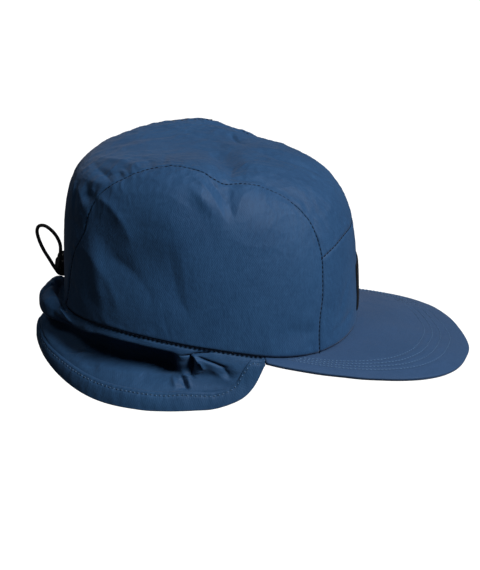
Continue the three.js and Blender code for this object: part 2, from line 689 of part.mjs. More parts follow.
// Manifold body of a closed geometry, standing on its Y axis, turned to stand on Z.
function bodyOf(geometry) {
  geometry.deleteAttribute("uv");
  geometry.deleteAttribute("normal");
  const merged = mergeVertices(geometry.rotateX(Math.PI / 2), WELD_DISTANCE);
  const corners = Array.from(merged.index.array);
  const triangles = [];
  for (let k = 0; k < corners.length; k += 3) {
    const [a, b, c] = corners.slice(k, k + 3);
    if (a !== b && b !== c && a !== c) triangles.push(a, b, c);
  }
  const place = merged.getAttribute("position");
  const pointAt = (_, k) => new THREE.Vector3().fromBufferAttribute(place, k);
  const points = Array.from({ length: place.count }, pointAt);
  const turned = solid(points, triangles);
  return new manifold.Manifold(new manifold.Mesh({
    numProp: 3,
    vertProperties: turned.getAttribute("position").array,
    triVerts: Uint32Array.from(turned.index.array),
  }));
}

// Turns the manifold result into geometry placed at the lock.
function placedAtLock(body) {
  const mesh = body.getMesh();
  const points = [];
  for (let k = 0; k < mesh.vertProperties.length; k += mesh.numProp) {
    const [x, y, z] = mesh.vertProperties.slice(k, k + 3);
    points.push(new THREE.Vector3(...lockToWorld([x, y, z])));
  }
  return solid(points, Array.from(mesh.triVerts));
}

// Lock coordinates have the slot along local Y and the plunger along +Z, from the lock base.
function lockToWorld([x, y, z]) {
  const c = Math.cos(rad(LOCK.heading));
  const s = Math.sin(rad(LOCK.heading));
  const [cx, cy, cz] = LOCK.centre;
  return [cx + x * c - y * s, cy + x * s + y * c, cz - LOCK.headTop / 2 + z];
}

// Turned body of an outline that starts and ends on the axis.
function turnedBody(outline) {
  const profile = outline.map(([radius, height]) => new THREE.Vector2(radius, height));
  return bodyOf(new THREE.LatheGeometry(profile, LATHE_SIDES));
}

// Box that cuts the cord's slot between two heights.
function slotCutter(low, high) {
  const box = new THREE.BoxGeometry(LOCK.slotWidth, high - low, LOCK.slotLength);
  return bodyOf(box.translate(0, (low + high) / 2, 0));
}

function cordLock() {
  const shell = turnedBody([...LOCK_BODY_OUTLINE, [0, LOCK.bodyHeight]]);
  const bore = new THREE.CylinderGeometry(LOCK.boreRadius, LOCK.boreRadius, LOCK.bodyHeight, LATHE_SIDES);
  bore.translate(0, LOCK.boreFloor + LOCK.bodyHeight / 2, 0);
  const hollowed = shell.subtract(bodyOf(bore));
  return placedAtLock(hollowed.subtract(slotCutter(LOCK.slotLow, LOCK.slotHigh)));
}

function lockButton() {
  const stemEnd = [[0, LOCK.stemBottom], [LOCK.stemRadius, LOCK.stemBottom]];
  const stem = turnedBody([...stemEnd, ...PLUNGER_HEAD_OUTLINE]);
  return placedAtLock(stem.subtract(slotCutter(0, LOCK.plungerSlotHigh)));
}

// Loop of the drawcord outside the lock, from the upper strand round to the lower strand.
// x, y, z
const CORD_LOOP = [
  [-105.4, 26.8, 27.5],
  [-104.7, 26.2, 34.0],
  [-104.6, 25.6, 40.3],
  [-106.6, 25.2, 46.2],
  [-110.8, 25.6, 51.6],
  [-115.4, 26.4, 54.3],
  [-119.1, 27.2, 53.6],
  [-120.5, 27.6, 50.0],
  [-119.2, 27.4, 43.3],
  [-116.2, 26.8, 36.1],
  [-112.4, 26.2, 29.6],
  [-109.0, 25.8, 23.6],
];

// Ends of the two tails beyond the far side of the lock, in lock coordinates.
// x, y, z
const UPPER_TAIL = [
  [3.2, 17.4, 0.6],
  [2.0, 14.4, 4.2],
  [0.6, 11.2, 7.0],
];
const LOWER_TAIL = [
  [-0.6, 10.4, 2.6],
  [-1.2, 13.0, 0.2],
];

function drawcord() {
  const middle = (LOCK.slotHigh + LOCK.slotLow) / 2;
  const upperStrand = LOCK.strandPlaces.map((y) => [0, y, middle + LOCK.strandOffset]);
  const lowerStrand = LOCK.strandPlaces.map((y) => [0, -y, middle - LOCK.strandOffset]);
  const path = [
    ...[...UPPER_TAIL, ...upperStrand].map(lockToWorld),
    ...CORD_LOOP,
    ...[...lowerStrand, ...LOWER_TAIL].map(lockToWorld),
  ];
  return tube(path, CORD_DIAMETER, CORD_RINGS);
}

// Finishes of the pieces
const CROWN_CLOTH = { color: 0x2b4b70, roughness: 0.85, metalness: 0 };
const PEAK_CLOTH = { color: 0x3a5476, roughness: 0.85, metalness: 0 };
const FLAP_CLOTH = { color: 0x1d3756, roughness: 0.85, metalness: 0 };
const HEM_CLOTH = { color: 0x264569, roughness: 0.85, metalness: 0 };
const PATCH_CLOTH = { color: 0x0b0c0f, roughness: 0.9, metalness: 0 };
const CORD_ELASTIC = { color: 0x0c0d10, roughness: 0.8, metalness: 0 };
const LOCK_PLASTIC = { color: 0x101114, roughness: 0.45, metalness: 0 };

// Every piece by its node's name: how it is made and its finish
const PIECES = {
  side_panel_right: [() => sidePanel(archRight), CROWN_CLOTH],
  side_panel_left: [() => sidePanel(archLeft), CROWN_CLOTH],
  top_panel: [topPanel, CROWN_CLOTH],
  front_panel: [frontPanel, CROWN_CLOTH],
  peak: [peak, PEAK_CLOTH],
  front_patch: [frontPatch, PATCH_CLOTH],
  neck_flap: [neckFlap, FLAP_CLOTH],
  flap_hem: [flapHem, HEM_CLOTH],
  drawcord: [drawcord, CORD_ELASTIC],
  cord_lock: [cordLock, LOCK_PLASTIC],
  lock_button: [lockButton, LOCK_PLASTIC],
};

const cap = new THREE.Group();
cap.name = "earflap_cap";
for (const [name, [make, finish]] of Object.entries(PIECES)) {
  const mesh = new THREE.Mesh(make(), new THREE.MeshStandardMaterial(finish));
  mesh.name = name;
  cap.add(mesh);
}

export default cap;
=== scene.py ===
"""Looks of the earflap cap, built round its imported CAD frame.

Sizes in the tables are millimetres and meshes are written in metres. +X points
to the peak, +Y to the wearer's left and +Z up.
"""

import logging
import math
from dataclasses import dataclass
from enum import Enum

import bpy
import numpy as np
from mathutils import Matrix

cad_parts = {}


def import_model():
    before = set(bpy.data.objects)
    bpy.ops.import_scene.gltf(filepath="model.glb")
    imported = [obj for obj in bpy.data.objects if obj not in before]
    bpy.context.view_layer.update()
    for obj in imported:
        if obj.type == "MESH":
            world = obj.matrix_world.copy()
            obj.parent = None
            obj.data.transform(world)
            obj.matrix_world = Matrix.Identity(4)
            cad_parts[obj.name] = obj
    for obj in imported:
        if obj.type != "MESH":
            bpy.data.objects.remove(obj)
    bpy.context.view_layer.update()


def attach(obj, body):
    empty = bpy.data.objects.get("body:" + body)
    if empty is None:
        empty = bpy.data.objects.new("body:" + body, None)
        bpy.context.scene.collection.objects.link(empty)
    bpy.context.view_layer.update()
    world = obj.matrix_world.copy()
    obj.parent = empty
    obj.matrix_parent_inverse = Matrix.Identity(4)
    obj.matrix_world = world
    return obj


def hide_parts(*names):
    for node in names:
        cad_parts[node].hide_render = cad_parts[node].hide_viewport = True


log = logging.getLogger("earflap_cap")
Array = np.ndarray
Colour = tuple[float, float, float]
SceneObject = bpy.types.Object
Socket = bpy.types.NodeSocket
MM = 0.001
UV_UNIT_MM = 10.0
CAP_BODY = "cap"
BUTTON_BODY = "button"
SAMPLES_PER_SPAN = 24
UP = np.array([0.0, 0.0, 1.0])
MIRROR = np.array([1, -1])


class Side(Enum):
    """The wearer's left or right, as the sign of Y."""

    LEFT = 1
    RIGHT = -1


class Orientation(Enum):
    """Which way a cloth grid's first winding faces."""

    AS_WOUND = 1
    REVERSED = -1


@dataclass(frozen=True)
class RowCurve:
    """Smooth curve through table rows that are sorted by their first entry."""

    rows: tuple[tuple[float, ...], ...]

    def at(self, places: Array) -> Array:
        """Values of the other columns at the given places.

        Args:
            places: any shape of numbers on the first column's scale.

        Returns:
            Array of that shape with one more axis for the columns.
        """
        table = np.asarray(self.rows, float)
        knots, values = table[:, 0], table[:, 1:]
        before = np.concatenate([knots[:1], knots[:-1]])
        after = np.concatenate([knots[1:], knots[-1:]])
        value_before = np.vstack([values[:1], values[:-1]])
        value_after = np.vstack([values[1:], values[-1:]])
        slopes = (value_after - value_before) / (after - before)[:, None]
        held = np.clip(places, knots[0], knots[-1])
        i = np.clip(np.searchsorted(knots, held, side="right") - 1, 0, len(knots) - 2)
        width = (knots[i + 1] - knots[i])[..., None]
        f = ((held - knots[i])[..., None]) / width
        f2, f3 = f * f, f * f * f
        return (
            (2 * f3 - 3 * f2 + 1) * values[i]
            + (f3 - 2 * f2 + f) * width * slopes[i]
            + (3 * f2 - 2 * f3) * values[i + 1]
            + (f3 - f2) * width * slopes[i + 1]
        )


@dataclass(frozen=True)
class ClothNoise:
    """Repeatable smooth noise over space, for wrinkles."""

    seed: int

    def at(self, points: Array) -> Array:
        """Noise from about -1 to 1 at points given in noise cells.

        Args:
            points: array whose last axis is x, y, z.

        Returns:
            Array without that axis.
        """
        rng = np.random.default_rng(self.seed)
        order = rng.permutation(256)
        slopes = rng.normal(size=(256, 3))
        slopes /= np.linalg.norm(slopes, axis=1, keepdims=True)
        cell = np.floor(points).astype(int)
        inside = points - cell
        fade = inside * inside * inside * (inside * (inside * 6 - 15) + 10)
        total = np.zeros(points.shape[:-1])
        for corner in range(8):
            step = np.array([corner & 1, (corner >> 1) & 1, corner >> 2])
            c = (cell + step) & 255
            pick = order[(order[(order[c[..., 0]] + c[..., 1]) & 255] + c[..., 2]) & 255]
            weight = np.where(step == 1, fade, 1 - fade).prod(axis=-1)
            total += weight * (slopes[pick] * (inside - step)).sum(axis=-1)
        return total * 1.6


def between(t: Array, start: float, end: float, first: Array, last: Array) -> Array:
    """Straight blend from first at start to last at end."""
    return (end - t) / (end - start) * first + (t - start) / (end - start) * last


def smooth_line(points: Array, count: int) -> Array:
    """Evenly spaced points on a centripetal curve through the given points.

    Args:
        points: array of n rows, two or three columns.
        count: how many equal steps to return.

    Returns:
        Array of count + 1 rows.
    """
    held = np.vstack([2 * points[0] - points[1], points, 2 * points[-1] - points[-2]])
    pieces = []
    for k in range(1, len(held) - 2):
        p = held[k - 1 : k + 3]
        knots = np.concatenate([[0], np.cumsum(np.sqrt(np.linalg.norm(np.diff(p, axis=0), axis=1)))])
        t = np.linspace(knots[1], knots[2], SAMPLES_PER_SPAN, endpoint=False)[:, None]
        a = [between(t, knots[j], knots[j + 1], p[j], p[j + 1]) for j in range(3)]
        b = [between(t, knots[j], knots[j + 2], a[j], a[j + 1]) for j in range(2)]
        pieces.append(between(t, knots[1], knots[2], b[0], b[1]))
    return even_points(np.vstack([*pieces, points[-1:]]), count)


def even_points(line: Array, count: int) -> Array:
    """The same line with equal steps.

    Args:
        line: array of points.
        count: how many steps.

    Returns:
        Array of count + 1 points.
    """
    run = np.concatenate([[0], np.cumsum(np.linalg.norm(np.diff(line, axis=0), axis=1))])
    places = np.linspace(0, run[-1], count + 1)
    return np.stack([np.interp(places, run, line[:, k]) for k in range(line.shape[1])], axis=1)


def fill_between(bottom: Array, top: Array, left: Array, right: Array) -> Array:
    """Grid between four edges that share their corners.

    Args:
        bottom: first row.
        top: last row.
        left: first column.
        right: last column.

    Returns:
        Array of rows by columns by the edges' own columns.
    """
    v = np.linspace(0, 1, len(left))[:, None, None]
    u = np.linspace(0, 1, len(bottom))[None, :, None]
    corners = (1 - u) * (1 - v) * bottom[0] + u * (1 - v) * bottom[-1]
    corners = corners + (1 - u) * v * top[0] + u * v * top[-1]
    return (1 - v) * bottom[None] + v * top[None] + (1 - u) * left[:, None] + u * right[:, None] - corners


def grid_over(rows: Array, columns: Array) -> tuple[Array, Array]:
    """Row and column values over a whole grid."""
    return np.meshgrid(rows, columns, indexing="ij")


def grid_normals(grid: Array) -> Array:
    """Unit normals of a grid of points."""
    normal = np.cross(np.gradient(grid, axis=0), np.gradient(grid, axis=1))
    return normal / (np.linalg.norm(normal, axis=-1, keepdims=True) + 1e-12)


def run_lengths(grid: Array, axis: int) -> Array:
    """Length along the grid lines of one axis, from its first line, in millimetres."""
    steps = np.linalg.norm(np.diff(grid, axis=axis), axis=-1)
    start = np.zeros_like(np.take(steps, [0], axis=axis))
    return np.concatenate([start, np.cumsum(steps, axis=axis)], axis=axis)


def edge_gaps(grid: Array) -> dict[str, Array]:
    """Distances of grid points to the grid's four edges, in millimetres."""
    down, right = run_lengths(grid, 0), run_lengths(grid, 1)
    return {"start": down, "end": down[-1:] - down, "left": right, "right": right[:, -1:] - right}


def soft_step(value: Array, low: float, high: float) -> Array:
    """0 below low, 1 above high and smooth between."""
    t = np.clip((value - low) / (high - low), 0, 1)
    return t * t * (3 - 2 * t)


def bell(value: Array, width: float) -> Array:
    """1 at zero, falling smoothly to nothing over about two widths."""
    return np.exp(-((value / width) ** 2))


def crease_heights(places: Array, rows: tuple) -> Array:
    """Summed height of straight creases with crisp crests.

    Args:
        places: array whose last axis holds two coordinates.
        rows: start, end, half width and depth of each crease, in the same units.

    Returns:
        Array without that axis.
    """
    crest, falloff = 0.25, 1.3
    end_depth, added_depth = 0.55, 0.45
    height = np.zeros(places.shape[:-1])
    for x0, y0, x1, y1, half_width, depth in rows:
        start, run = np.array([x0, y0]), np.array([x1 - x0, y1 - y0])
        share = np.clip(((places - start) @ run) / (run @ run), 0, 1)
        gap = np.linalg.norm(places - start - share[..., None] * run, axis=-1) / half_width
        fade = end_depth + added_depth * np.sin(np.pi * share)
        height += depth * np.exp(-falloff * (np.hypot(gap, crest) - crest)) * fade
    return height


def link_object(name: str, data: object) -> SceneObject:
    """A new object in the scene.

    Args:
        name: object name.
        data: its mesh, camera or light.

    Returns:
        The object, at the origin.
    """
    obj = bpy.data.objects.new(name, data)
    bpy.context.scene.collection.objects.link(obj)
    return obj


def make_object(name: str, points: Array, faces: list, uv: Array | None = None) -> SceneObject:
    """A smooth-shaded mesh object at the origin.

    Args:
        name: piece name.
        points: n by 3, in millimetres.
        faces: lists of point numbers.
        uv: n by 2, in millimetres, or None.

    Returns:
        The new object.
    """
    mesh = bpy.data.meshes.new(name)
    mesh.from_pydata((points * MM).tolist(), [], faces)
    mesh.polygons.foreach_set("use_smooth", [True] * len(mesh.polygons))
    if uv is not None:
        layer = mesh.uv_layers.new(name="cloth")
        corner = np.empty(len(mesh.loops), dtype=np.int32)
        mesh.loops.foreach_get("vertex_index", corner)
        layer.data.foreach_set("uv", (uv[corner] / UV_UNIT_MM).ravel())
    mesh.update()
    return link_object(name, mesh)


def apply_modifiers(obj: SceneObject) -> None:
    """Turns the object's modifiers into mesh.

    Args:
        obj: the object, left without modifiers.
    """
    bpy.context.view_layer.update()
    evaluated = obj.evaluated_get(bpy.context.evaluated_depsgraph_get())
    finished = bpy.data.meshes.new_from_object(evaluated)
    obj.modifiers.clear()
    obj.data = finished


def tube_faces(rings: int, sides: int) -> list[list[int]]:
    """Faces of a tube whose ends close on one middle point each.

    Args:
        rings: how many rings, whose points come first.
        sides: points of each ring.

    Returns:
        Lists of point numbers; the two middle points are the last ones.
    """
    pairs = [(j, (j + 1) % sides) for j in range(sides)]
    faces = [
        [k * sides + j, k * sides + n, (k + 1) * sides + n, (k + 1) * sides + j]
        for k in range(rings - 1)
        for j, n in pairs
    ]
    top = (rings - 1) * sides
    for j, n in pairs:
        faces += [[rings * sides, n, j], [rings * sides + 1, top + j, top + n]]
    return faces


def cloth_shell(name: str, outer: Array, inner: Array, orientation: Orientation) -> SceneObject:
    """Closed cloth wall between an outer and an inner grid.

    Args:
        name: piece name.
        outer: rows by columns by 3, in millimetres.
        inner: the same shape.
        orientation: REVERSED turns every face round.

    Returns:
        The new object, with a UV map that follows the cloth.
    """
    rows, columns = outer.shape[:2]
    number = np.arange(rows * columns).reshape(rows, columns)
    layer = rows * columns

    def quads(*corners: Array) -> Array:
        """Faces from four corner arrays."""
        return np.stack([corner.ravel() for corner in corners], axis=1)

    def skin(n: Array) -> Array:
        """Faces over the whole grid."""
        return quads(n[:-1, :-1], n[:-1, 1:], n[1:, 1:], n[1:, :-1])

    ring = np.concatenate([number[0, :-1], number[:-1, -1], number[-1, :0:-1], number[:0:-1, 0]])
    after = np.roll(ring, -1)
    rim = quads(ring, ring + layer, after + layer, after)
    faces = np.vstack([skin(number), skin(number + layer)[:, ::-1], rim])
    if orientation is Orientation.REVERSED:
        faces = faces[:, ::-1]
    along, across = run_lengths(outer, 0), run_lengths(outer, 1)
    middle_row, middle_column = rows // 2, columns // 2
    u = across - across[:, middle_column : middle_column + 1]
    v = np.broadcast_to(along.mean(axis=1)[:, None], u.shape) * 0.5 + along * 0.5
    v = v - v[middle_row, middle_column]
    uv = np.stack([u, v], axis=-1).reshape(-1, 2)
    points = np.vstack([outer.reshape(-1, 3), inner.reshape(-1, 3)])
    return make_object(name, points, faces.tolist(), np.vstack([uv, uv]))


class NodeSheet:
    """Short way to add and join shader nodes in one material."""

    def __init__(self, name: str) -> None:
        """Starts an empty material of that name."""
        self.material = bpy.data.materials.new(name)
        self.material.use_nodes = True
        self.tree = self.material.node_tree
        self.tree.nodes.clear()

    def add(self, kind: str, settings: dict | None = None, **inputs: object) -> bpy.types.Node:
        """Adds a node.

        Args:
            kind: node type.
            settings: node properties by name.
            **inputs: socket name with underscores, to a value or an output socket.

        Returns:
            The node.
        """
        node = self.tree.nodes.new(kind)
        for key, value in (settings or {}).items():
            setattr(node, key, value)
        for key, value in inputs.items():
            self.join(node, key.replace("_", " "), value)
        return node

    def join(self, node: bpy.types.Node, key: object, value: object) -> None:
        """Sets one input, by name or number, to a value or an output socket."""
        socket = node.inputs[key]
        if isinstance(value, Socket):
            self.tree.links.new(value, socket)
        else:
            socket.default_value = value

    def math(self, operation: str, *operands: object) -> Socket:
        """Result of one math node on two or three values or output sockets."""
        node = self.add("ShaderNodeMath", {"operation": operation})
        for number, operand in enumerate(operands):
            self.join(node, number, operand)
        return node.outputs[0]

    def weighted(self, *parts: tuple[Socket, float]) -> Socket:
        """Sum of several values, each times its share."""
        total = self.math("MULTIPLY", *parts[0])
        for value, share in parts[1:]:
            total = self.math("MULTIPLY_ADD", value, share, total)
        return total

    def turned(self, vector: Socket, turn: float, size: tuple[float, float] = (1.0, 1.0)) -> Socket:
        """Coordinates turned about Z by radians and stretched."""
        turns, sizes = (0.0, 0.0, turn), (*size, 1.0)
        return self.add("ShaderNodeMapping", Vector=vector, Rotation=turns, Scale=sizes).outputs[0]

    def noise(self, vector: Socket, **inputs: float) -> Socket:
        """Noise that averages about 0.5."""
        return self.add("ShaderNodeTexNoise", Vector=vector, **inputs).outputs["Fac"]

    def bands(self, vector: Socket, direction: str, **inputs: float) -> Socket:
        """Wave bands from 0 to 1 along one direction."""
        settings = {"wave_type": "BANDS", "bands_direction": direction}
        return self.add("ShaderNodeTexWave", settings, Vector=vector, **inputs).outputs["Fac"]

    def bump(self, height: Socket, strength: float, distance: float, **inputs: Socket) -> Socket:
        """Normal of a surface raised by the distance in metres where the height is 1."""
        node = self.add("ShaderNodeBump", Strength=strength, Distance=distance, Height=height, **inputs)
        return node.outputs["Normal"]

    def ramp(self, factor: Socket, low: tuple[float, Colour], high: tuple[float, Colour]) -> Socket:
        """Colour that goes from one place and colour to another."""
        node = self.add("ShaderNodeValToRGB", Fac=factor)
        for element, (place, colour) in zip(node.color_ramp.elements, (low, high)):
            element.position = place
            element.color = (*colour, 1.0)
        return node.outputs["Color"]

    def finish(self, kind: str, **inputs: object) -> bpy.types.Material:
        """Adds the shader node, joins it to the output and returns the material."""
        shader = self.add(kind, **inputs)
        self.add("ShaderNodeOutputMaterial", Surface=shader.outputs[0])
        return self.material


@dataclass(frozen=True)
class NylonFinish:
    """Matte woven nylon: crossing threads, slubs, soft mottling and fine creases."""

    name: str
    colour: Colour
    deep: Colour
    thread_scale: float = 2.7
    roughness: float = 0.62
    sheen: float = 0.06
    specular: float = 0.20
    crease_depth: float = 0.0004
    weave_depth: float = 0.0004
    thread_turn: float = 0.62
    cross_turn: float = -0.95
    slub_size: tuple = (10.0, 3.0)
    cloud_size: tuple = (4.0, 0.7)

    def threads(self, sheet: NodeSheet, uv: Socket, turn: float) -> Socket:
        """Height of the threads that run one way over the cloth's own coordinates."""
        turned = sheet.turned(uv, turn)
        return sheet.bands(turned, "X", Scale=self.thread_scale, Distortion=1.6, Detail=2.0)

    def streaks(self, sheet: NodeSheet, uv: Socket, size: tuple[float, float]) -> Socket:
        """Noise along the main threads, with cells per UV unit across and along them."""
        turned = sheet.turned(uv, self.thread_turn, size)
        return sheet.noise(turned, Scale=1.0, Detail=4.0, Roughness=0.6)

    def material(self) -> bpy.types.Material:
        """Builds the material."""
        sheet = NodeSheet(self.name)
        place = sheet.add("ShaderNodeTexCoord").outputs
        uv, solid = place["UV"], place["Object"]
        main, cross = self.threads(sheet, uv, self.thread_turn), self.threads(sheet, uv, self.cross_turn)
        threads = sheet.weighted((main, 0.62), (cross, 0.38))
        slub = self.streaks(sheet, uv, self.slub_size)
        cloud = self.streaks(sheet, uv, self.cloud_size)
        mottle = sheet.noise(solid, Scale=26.0, Detail=4.0, Roughness=0.6)
        crease = sheet.noise(solid, Scale=120.0, Detail=6.0, Roughness=0.66, Distortion=1.2)
        grain = sheet.weighted((slub, 0.78), (threads, 0.22))
        tone = sheet.weighted((mottle, 0.3), (cloud, 0.2), (grain, 0.5))
        folded = sheet.bump(crease, 0.7, self.crease_depth)
        return sheet.finish(
            "ShaderNodeBsdfPrincipled",
            Base_Color=sheet.ramp(tone, (0.38, self.deep), (0.62, self.colour)),
            Roughness=self.roughness,
            Normal=sheet.bump(grain, 0.6, self.weave_depth, Normal=folded),
            Sheen_Weight=self.sheen,
            Sheen_Roughness=0.5,
            Sheen_Tint=(0.80, 0.84, 1.0, 1.0),
            Specular_IOR_Level=self.specular,
        )


@dataclass(frozen=True)
class PlasticFinish:
    """Moulded black plastic with a faint grain."""

    name: str
    colour: Colour
    roughness: float
    grain_depth: float = 0.00005

    def material(self) -> bpy.types.Material:
        """Builds the material."""
        sheet = NodeSheet(self.name)
        solid = sheet.add("ShaderNodeTexCoord").outputs["Object"]
        grain = sheet.noise(solid, Scale=2600.0, Detail=2.0)
        wear = sheet.noise(solid, Scale=240.0, Detail=4.0)
        worn = tuple(min(1.0, c * 1.8 + 0.004) for c in self.colour)
        return sheet.finish(
            "ShaderNodeBsdfPrincipled",
            Base_Color=sheet.ramp(wear, (0.35, self.colour), (0.75, worn)),
            Roughness=sheet.math("MULTIPLY_ADD", wear, 0.2, self.roughness - 0.1),
            Normal=sheet.bump(grain, 0.3, self.grain_depth),
        )


@dataclass(frozen=True)
class BraidFinish:
    """Braided elastic cord: crossing strands along the tube's own UV, with painted shade in the gaps
    between the strands.
    """

    name: str
    colour: Colour
    pitch: float
    strand_turn: float = 0.8
    strand_depth: float = 0.00022

    def material(self) -> bpy.types.Material:
        """Builds the material."""
        sheet = NodeSheet(self.name)
        uv = sheet.add("ShaderNodeTexCoord").outputs["UV"]
        strands = [
            sheet.bands(sheet.turned(uv, turn), "X", Scale=self.pitch, Distortion=0.2)
            for turn in (self.strand_turn, -self.strand_turn)
        ]
        braid = sheet.math("MAXIMUM", *strands)
        # deep is painted shade: the colour darkens where the strands dip apart, as the gaps between them
        # would be shaded.
        deep = tuple(c * 0.35 for c in self.colour)
        return sheet.finish(
            "ShaderNodeBsdfPrincipled",
            Base_Color=sheet.ramp(braid, (0.2, deep), (0.9, self.colour)),
            Roughness=0.7,
            Normal=sheet.bump(braid, 0.7, self.strand_depth),
            Sheen_Weight=0.15,
        )


@dataclass(frozen=True)
class ThreadFinish:
    """Sewing thread with a twisted ply, with painted shade in the grooves between the plies."""

    name: str
    colour: Colour
    specular: float = 0.1
    ply_depth: float = 0.00008

    def material(self) -> bpy.types.Material:
        """Builds the material."""
        sheet = NodeSheet(self.name)
        solid = sheet.add("ShaderNodeTexCoord").outputs["Object"]
        ply = sheet.bands(solid, "DIAGONAL", Scale=420.0, Distortion=1.0)
        # deep is painted shade: the colour darkens in the grooves of the ply, as they would be shaded.
        deep = tuple(c * 0.6 for c in self.colour)
        return sheet.finish(
            "ShaderNodeBsdfPrincipled",
            Base_Color=sheet.ramp(ply, (0.2, deep), (0.8, self.colour)),
            Roughness=0.8,
            Normal=sheet.bump(ply, 0.4, self.ply_depth),
            Specular_IOR_Level=self.specular,
        )


@dataclass(frozen=True)
class FloorFinish:
    """Plain pale studio paper."""

    name: str = "studio_paper"
    shade: float = 0.97

    def material(self) -> bpy.types.Material:
        """Builds the material."""
        paper = (self.shade, self.shade, self.shade, 1.0)
        return NodeSheet(self.name).finish("ShaderNodeBsdfDiffuse", Color=paper)


class Finishes:
    """Every finish of the cap, built once."""

    def __init__(self) -> None:
        """Builds the materials."""
        self.crown = NylonFinish("crown_nylon", (0.017, 0.063, 0.150), (0.008, 0.038, 0.100)).material()
        self.peak = NylonFinish(
            "peak_nylon", (0.019, 0.054, 0.128), (0.014, 0.043, 0.104), sheen=0.10, crease_depth=0.0001
        ).material()
        self.flap = NylonFinish("flap_nylon", (0.017, 0.062, 0.146), (0.010, 0.040, 0.100)).material()
        self.band = NylonFinish("hem_nylon", (0.016, 0.060, 0.140), (0.010, 0.040, 0.100)).material()
        self.patch = NylonFinish(
            "patch_cloth", (0.006, 0.007, 0.009), (0.002, 0.002, 0.003), thread_scale=5.0, sheen=0.03
        ).material()
        self.cord = BraidFinish("braided_elastic", (0.012, 0.012, 0.014), 3.0).material()
        self.lock = PlasticFinish("lock_plastic", (0.006, 0.006, 0.007), 0.42).material()
        self.button = PlasticFinish("button_plastic", (0.008, 0.008, 0.009), 0.36).material()
        self.dark_thread = ThreadFinish("dark_navy_thread", (0.003, 0.007, 0.018)).material()
        self.tone_thread = ThreadFinish("navy_thread", (0.100, 0.190, 0.330)).material()


